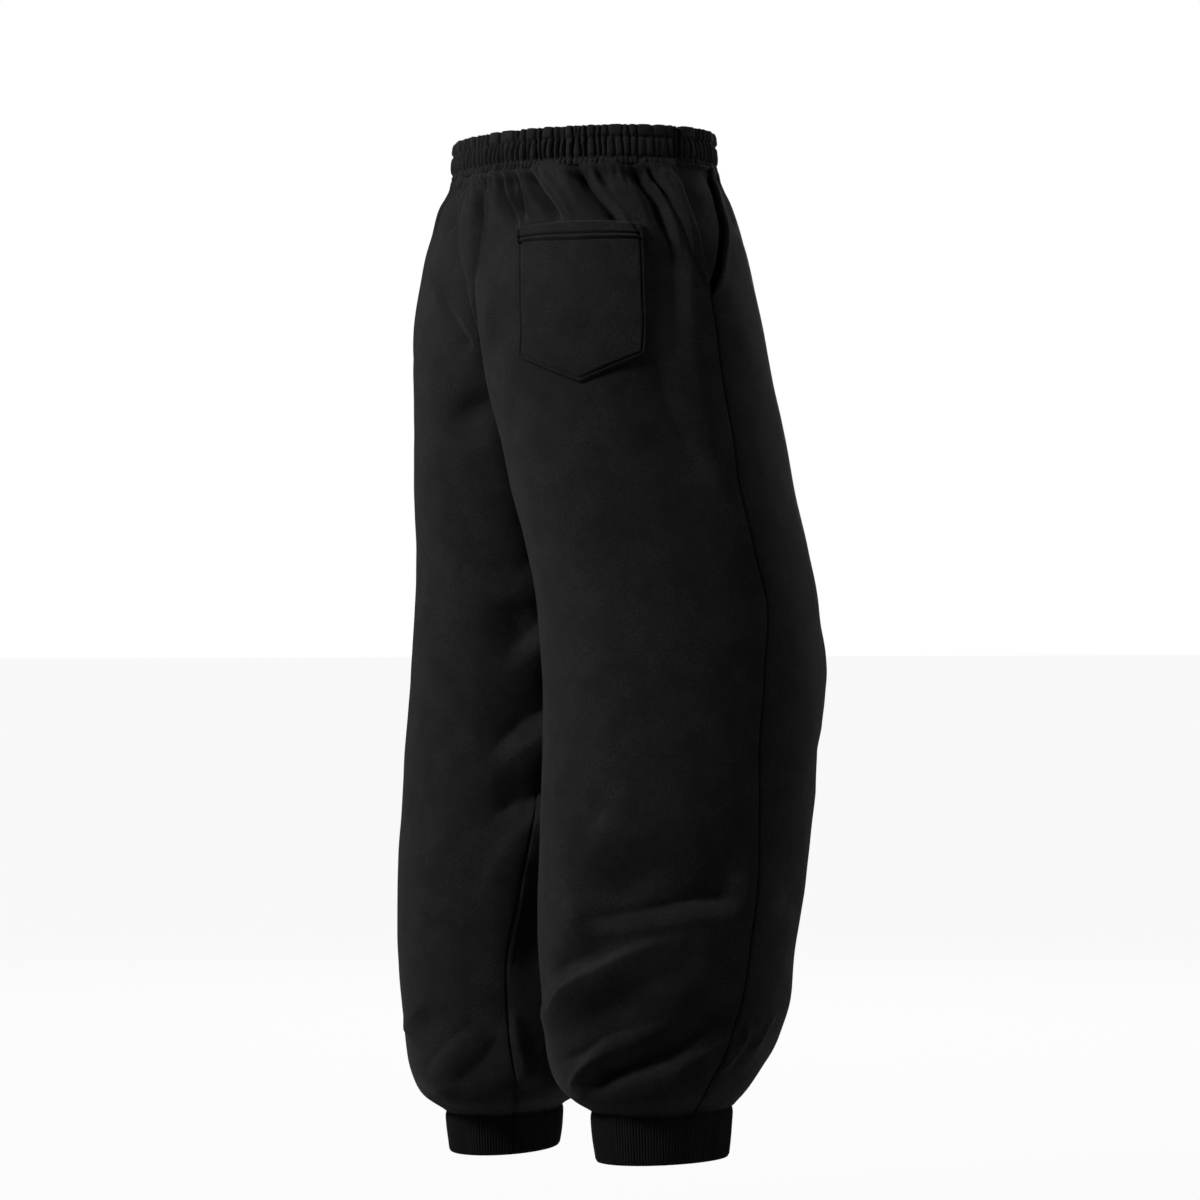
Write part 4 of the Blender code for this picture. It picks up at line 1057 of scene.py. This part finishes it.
def pocket_grid():
    """Outer and inner points of the pocket, its normals, and its stitch lines."""
    across = edge_spaced(0.0, POCKET_WIDTH, POCKET_COLUMNS, POCKET_FINE) / POCKET_WIDTH
    hem_rows = np.linspace(0.0, HEM_DEPTH + HEM_SPARE, HEM_ROWS) / POCKET_SIDE
    foot = 1 - np.array(POCKET_FINE[-2::-1]) / POCKET_SIDE
    rest_count = POCKET_ROWS - HEM_ROWS - len(foot) + 1
    rest = np.linspace(hem_rows[-1], 1 - POCKET_FINE[-1] / POCKET_SIDE, rest_count)[1:]
    down, across = np.meshgrid(np.concatenate([hem_rows, rest, foot]), across, indexing="ij")
    drops, girths = pocket_place(down, across)
    (before, after, count), girth_range = FORM_TABLE
    levels = np.linspace(POCKET_TOP - before, POCKET_TOP + POCKET_SIDE + POCKET_POINT + after, count)
    sample = np.linspace(*girth_range)
    row = (drops - levels[0]) / (levels[1] - levels[0])
    col = (girths - sample[0]) / (sample[1] - sample[0])
    j = np.clip(row.astype(int), 0, len(levels) - 2)
    i = np.clip(col.astype(int), 0, len(sample) - 2)
    v = (row - j)[..., None]
    u = (col - i)[..., None]
    points, normals = (
        table[j, i] * (1 - v) * (1 - u) + table[j + 1, i] * v * (1 - u)
        + table[j, i + 1] * (1 - v) * u + table[j + 1, i + 1] * v * u
        for table in form_table(levels, sample)
    )
    from_side = np.minimum(across, 1 - across) * POCKET_WIDTH
    from_top = down * POCKET_SIDE
    from_foot = (1 - down) * POCKET_SIDE
    from_edge = np.minimum(from_side, from_foot)
    lift = np.full(from_side.shape, POCKET_LIFT)
    lift += HEM_LIFT * ramp(HEM_DEPTH - from_top, *HEM_STEP)
    lift -= rolled(from_edge, *POCKET_ROLL)
    lift -= groove(from_edge - EDGE_STITCH, EDGE_GROOVE) * ramp(from_top, *EDGE_STITCH_START)
    for stitch in HEM_STITCHES:
        lift -= groove(from_top - stitch, HEM_GROOVE) * ramp(from_side, *HEM_STITCH_START)
    lift -= rolled(from_top, *POCKET_TOP_ROLL)
    over_hem = ramp(HEM_DEPTH + TACK_PAST_HEM - from_top, 0.0, TACK_END)
    for from_edge_side, (inside, lean) in zip((across, 1 - across), TACK_PLACES):
        lift -= groove(from_edge_side * POCKET_WIDTH - inside + lean * from_top, TACK_GROOVE) * over_hem
    mouth = POCKET_MOUTH * np.sin(math.pi * np.clip(across, 0, 1)) ** MOUTH_POWERS[0]
    gape, gape_behind = (mouth * np.exp(-(from_top / reach) ** MOUTH_POWERS[1]) for reach in MOUTH_REACH)
    lift += gape
    lift += POCKET_BELLY * np.sin(math.pi * across) * np.sin(math.pi * np.clip(down, 0, 1))
    rng = np.random.default_rng(POCKET_SEED)
    count, height, sizes, margin = POCKET_WAVES
    for _ in range(count):
        a = rng.uniform(0, math.pi)
        size = rng.uniform(*sizes)
        wave = np.sin(2 * math.pi / size * (drops * math.cos(a) + girths * math.sin(a)) + rng.uniform(0, 6))
        lift += height * wave * ramp(from_edge, *margin)
    outer = points + normals * lift[..., None]
    behind = np.minimum(lift - POCKET_CLOTH, POCKET_INNER + gape_behind)
    inner = points + normals * behind[..., None]

    def nearest(values, place):
        return int(np.argmin(np.abs(values - place)))

    near = nearest(across[0] * POCKET_WIDTH, EDGE_STITCH)
    low = nearest(from_foot[:, 0], EDGE_STITCH)
    start = nearest(from_top[:, 0], EDGE_STITCH_TOP)
    places = [(nearest(from_top[:, 0], stitch), slice(5, -5)) for stitch in HEM_STITCHES]
    places += [(slice(start, low), near), (slice(start, low), -1 - near), (low, slice(near, -near))]
    return outer, inner, normals, [(outer[place], normals[place]) for place in places]


def bartack(outer, normals, columns):
    """A dense bar of stitches over the pocket's hem, between two columns of its grid."""
    (top, foot), (first, last) = TACK_ROWS, columns
    way = outer[foot, last] - outer[top, first]
    lines = []
    for k in range(TACK_STITCHES):
        t = k / (TACK_STITCHES - 1)
        place = round(top + t * (foot - top)), round(first + t * (last - first))
        n = normals[place]
        p = outer[place] + n * TACK_PROUD
        side = np.cross(n, way)
        side /= np.linalg.norm(side)
        slope = np.cross(side, n) * (TACK_SLOPE if k % 2 else -TACK_SLOPE)
        a = p - side * TACK_HALF - slope
        b = p + side * TACK_HALF + slope
        lines.append((np.array([a, (a + b) / 2, b]), np.array([n, n, n])))
    return lines


# ---------------------------------------------------------------- side pocket backing
def backing_grid(leg):
    """Outer and inner points of the cloth behind the side pocket's opening."""
    rows, columns = BACKING_GRID
    high, full, fading, low = BACKING_DISH_DROPS
    bulge, place, half, more = BACKING_BULGE
    height, rate, reach = BACKING_WAVE
    outer, inner = [], []
    for drop in np.linspace(*BACKING_DROPS, rows):
        edge = opening_at(max(drop, SECTIONS[0][0]))
        girths = np.linspace(-edge - BACKING_AHEAD, BACKING_BEHIND, columns)
        points, normals = form_row(float(drop), girths, leg)
        points[:, 2] += max(0.0, SECTIONS[0][0] - drop)
        deep = BACKING_DISH * float(ramp(drop, high, full) * ramp(-drop, -low, -fading))
        ahead = -girths - edge
        dish = ramp(ahead, *BACKING_DISH_BEHIND) * ramp(-ahead, *BACKING_DISH_AHEAD)
        sink = np.where(girths > BACKING_TURN, BACKING_SINK_BEHIND, BACKING_SINK + deep * dish)
        sink -= bulge * bump(girths + place * edge, half * edge + more)
        sink += height * math.sin(drop * rate) * ramp(-girths, *reach)
        outer.append(points - normals * sink[:, None])
        inner.append(points - normals * (sink + BACKING_CLOTH)[:, None])
    return np.array(outer), np.array(inner)


# ---------------------------------------------------------------- materials
NOISE = {"in_3": 4.0, "in_4": 0.62}           # detail and roughness of both noises of the fleece
NAP_TONES = {"in_1": 0.38, "in_2": 0.63, "in_3": 0.0, "in_4": 1.0}          # noise from and to, share
MOTTLES = {"in_1": 0.36, "in_2": 0.64, "in_3": 0.0, "in_4": 0.66}
MOTTLE_FINENESS = 34.0
NAP_RELIEF = 0.0007
FLEECE_SHADER = {"Roughness": 0.92, "Specular IOR Level": 0.16, "Sheen Roughness": 0.45,
                 "Sheen Tint": (0.55, 0.55, 0.57, 1)}
THREAD_SHADER = {"Base Color": (0.004, 0.004, 0.0045, 1), "Roughness": 0.7, "Specular IOR Level": 0.2}
LINT = (0.024, 0.024, 0.025, 1)
LINT_CELLS = 150.0                    # to a metre; a speck's share of its cell; share of cells without
LINT_SIZE = 0.075
LINT_RARITY = 0.62
# Fleeces: dark and light tone, fineness of the nap, sheen, and whether lint shows.
FLEECES = {
    "black_fleece": ((0.0030, 0.0030, 0.0031, 1), (0.0155, 0.0155, 0.0160, 1), 760.0, 0.06, True),
    "gathered_fleece": ((0.0035, 0.0035, 0.0036, 1), (0.0140, 0.0140, 0.0145, 1), 760.0, 0.06, False),
    "rib_knit": ((0.0042, 0.0042, 0.0044, 1), (0.0080, 0.0080, 0.0084, 1), 900.0, 0.04, False),
}


def node(tree, kind, **settings):
    """A shader node with its properties set and its sockets, in_0 and on, set or linked."""
    made = tree.nodes.new("ShaderNode" + kind)
    for key, value in settings.items():
        if not key.startswith("in_"):
            setattr(made, key, value)
        elif isinstance(value, bpy.types.NodeSocket):
            tree.links.new(value, made.inputs[int(key[3:])])
        else:
            made.inputs[int(key[3:])].default_value = value
    return made


def new_material(name, values):
    """A material, its node tree and its shader, with these values of the shader."""
    material = bpy.data.materials.new(name)
    material.use_nodes = True
    shader = material.node_tree.nodes["Principled BSDF"]
    for socket, value in values.items():
        shader.inputs[socket].default_value = value
    return material, material.node_tree, shader


def fleece(name, dark, light, nap, sheen, lint):
    """Brushed black fleece: short nap, faint mottling, perhaps a few specks of lint."""
    material, tree, shader = new_material(name, {**FLEECE_SHADER, "Sheen Weight": sheen})
    place = node(tree, "TexCoord").outputs["Object"]
    fine = node(tree, "TexNoise", in_0=place, in_2=nap, **NOISE).outputs[0]
    broad = node(tree, "TexNoise", in_0=place, in_2=MOTTLE_FINENESS, **NOISE).outputs[0]
    spread = node(tree, "MapRange", in_0=fine, **NAP_TONES).outputs[0]
    shade = node(tree, "MapRange", in_0=broad, **MOTTLES).outputs[0]
    colour = node(tree, "Mix", data_type="RGBA", in_0=spread, in_6=dark, in_7=light).outputs[2]
    colour = node(tree, "Mix", data_type="RGBA", in_0=shade, in_6=colour, in_7=dark).outputs[2]
    if lint:
        cells = node(tree, "TexVoronoi", in_0=place, in_2=LINT_CELLS)
        spot = node(tree, "Math", operation="LESS_THAN", in_0=cells.outputs["Distance"], in_1=LINT_SIZE)
        split = node(tree, "SeparateColor", in_0=cells.outputs["Color"])
        few = node(tree, "Math", operation="GREATER_THAN", in_0=split.outputs[0], in_1=LINT_RARITY)
        both = node(tree, "Math", operation="MULTIPLY", in_0=spot.outputs[0], in_1=few.outputs[0])
        colour = node(tree, "Mix", data_type="RGBA", in_0=both.outputs[0], in_6=colour, in_7=LINT).outputs[2]
    tree.links.new(colour, shader.inputs["Base Color"])
    relief = node(tree, "Bump", in_0=1.0, in_1=NAP_RELIEF)
    tree.links.new(fine, relief.inputs["Height"])
    tree.links.new(relief.outputs[0], shader.inputs["Normal"])
    return material


# ---------------------------------------------------------------- camera, light and floor
CAMERA_AZIMUTH = 234.0
CAMERA_AWAY = 4.25
CAMERA_HEIGHT = -0.4676
SENSOR = 36.0
FOCAL_PIXELS = 4364.75
PICTURE = 1200.0
AXIS_PIXEL = (583.0, 640.0)     # where the garment's axis meets the camera's level
CAMERA_SEES = 500.0

FLOOR_LEVEL = -1.055
FLOOR_HALF = 120.0
FLOOR_PAINT = (0.25, 0.25, 0.25, 1)
FLOOR_GLOW = 0.94               # share of the surround's brightness that the floor shows
WHITE = (1, 1, 1, 1)
SKY_STRENGTH = 0.028
LAMP_AIM = Vector((0.0, 0.0, -0.25))
# Lamps: name, turn from the camera's side (- to the picture's left), rise, distance, size, power.
LAMPS = (
    ("key", -60, 30, 2.9, 0.7, 79),
    ("left", -108, 34, 3.2, 1.0, 31),
    ("top", -15, 58, 3.0, 1.4, 7),
    ("right", 62, 28, 3.0, 1.6, 17),
    ("front_right", 136, 26, 3.4, 1.6, 26),
    ("far_side", 177, 26, 3.6, 1.2, 200),
)


def outward(azimuth):
    """The level direction from the garment to an azimuth, 0 at the front, in degrees."""
    a = math.radians(azimuth)
    return Vector((math.sin(a), -math.cos(a), 0))


def add_camera():
    """A level camera at the photograph's angle, turned a little to frame the garment as it does."""
    out = outward(CAMERA_AZIMUTH)
    right = outward(CAMERA_AZIMUTH + 90)
    centre = PICTURE / 2
    aim = -out + right * ((centre - AXIS_PIXEL[0]) / FOCAL_PIXELS)
    aim += Vector((0, 0, 1)) * ((AXIS_PIXEL[1] - centre) / FOCAL_PIXELS)
    data = bpy.data.cameras.new("camera")
    data.sensor_width = SENSOR
    data.lens = FOCAL_PIXELS / PICTURE * SENSOR
    data.clip_end = CAMERA_SEES
    camera = add_to_scene("camera", data)
    camera.location = out * CAMERA_AWAY + Vector((0, 0, CAMERA_HEIGHT))
    camera.rotation_euler = aim.to_track_quat("-Z", "Y").to_euler()
    bpy.context.scene.camera = camera


def add_lamp(name, turn, rise, away, size, power):
    """A soft round lamp beside the garment, aimed at it."""
    e = math.radians(rise)
    out = outward(CAMERA_AZIMUTH + turn) * math.cos(e) + Vector((0, 0, math.sin(e)))
    data = bpy.data.lights.new(name, "AREA")
    data.shape = "DISK"
    data.size = size
    data.energy = power
    lamp = add_to_scene(name, data)
    lamp.location = LAMP_AIM + out * away
    lamp.rotation_euler = (-out).to_track_quat("-Z", "Y").to_euler()


def seen_apart(tree, output, lit, seen, share=None):
    """Light other things with one shader, and show the camera the other, or this share of it."""
    factor = node(tree, "LightPath").outputs["Is Camera Ray"]
    if share:
        factor = node(tree, "Math", operation="MULTIPLY", in_0=factor, in_1=share).outputs[0]
    mix = node(tree, "MixShader", in_0=factor, in_1=lit.outputs[0], in_2=seen.outputs[0])
    node(tree, output, in_0=mix.outputs[0])


def add_stage():
    """A pale floor, lit evenly to the brightness of the white surround, which lights softly."""
    material = bpy.data.materials.new("floor_paint")
    material.use_nodes = True
    tree = material.node_tree
    tree.nodes.clear()
    matt = node(tree, "BsdfDiffuse", in_0=FLOOR_PAINT)
    glow = node(tree, "Emission", in_0=WHITE, in_1=1.0)
    seen_apart(tree, "OutputMaterial", matt, glow, FLOOR_GLOW)
    corners = [(x * FLOOR_HALF, y * FLOOR_HALF, FLOOR_LEVEL) for x, y in ((-1, -1), (1, -1), (1, 1), (-1, 1))]
    new_object("floor", corners, [(0, 1, 2, 3)], material, smooth=False)
    world = bpy.data.worlds.new("surround")
    bpy.context.scene.world = world
    world.use_nodes = True
    tree = world.node_tree
    tree.nodes.clear()
    seen = node(tree, "Background", in_0=WHITE, in_1=1.0)
    lit = node(tree, "Background", in_0=WHITE, in_1=SKY_STRENGTH)
    seen_apart(tree, "OutputWorld", lit, seen)


def declare(piece, nodes):
    """Hide the imported parts that a piece takes the place of, and attach it to the root body."""
    if nodes:
        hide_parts(*nodes)
    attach(piece, "root")


def main():
    """Build the looks."""
    bpy.context.scene.view_settings.view_transform = "Standard"
    bpy.context.scene.view_settings.look = "None"
    add_camera()
    add_stage()
    for lamp in LAMPS:
        add_lamp(*lamp)
    cloth, band_cloth, rib = (fleece(name, *values) for name, values in FLEECES.items())
    thread, _, _ = new_material("black_thread", THREAD_SHADER)

    outer, inner, lines = band_grid()
    band = shell("cloth_waistband", outer, inner, band_cloth, is_ring=True)
    band_thread = stitches("waistband_stitches", lines, *BAND_STITCH, thread)
    declare(band_thread, ())
    declare(band, ("waistband",))

    for leg in ("right", "left"):
        for name, (outer, inner) in leg_panels(leg).items():
            piece = shell(f"cloth_{name}_{leg}", outer, inner, cloth)
            declare(piece, (f"{name}_{leg}",))
        piece = shell(f"cloth_side_pocket_{leg}", *backing_grid(leg), cloth)
        declare(piece, (f"side_pocket_{leg}",))
        piece = shell(f"cloth_cuff_{leg}", *cuff_grid(leg), rib, is_ring=True)
        declare(piece, (f"cuff_{leg}",))

    outer, inner, normals, lines = pocket_grid()
    pocket = shell("cloth_back_pocket", outer, inner, cloth)
    tacks = [line for columns in TACK_COLUMNS for line in bartack(outer, normals, columns)]
    pocket_thread = stitches("pocket_stitches", lines, *POCKET_STITCH, thread)
    pocket_tacks = stitches("pocket_bartacks", tacks, *TACK_STITCH, thread)
    declare(pocket_thread, ())
    declare(pocket_tacks, ())
    declare(pocket, ("back_pocket",))


main()
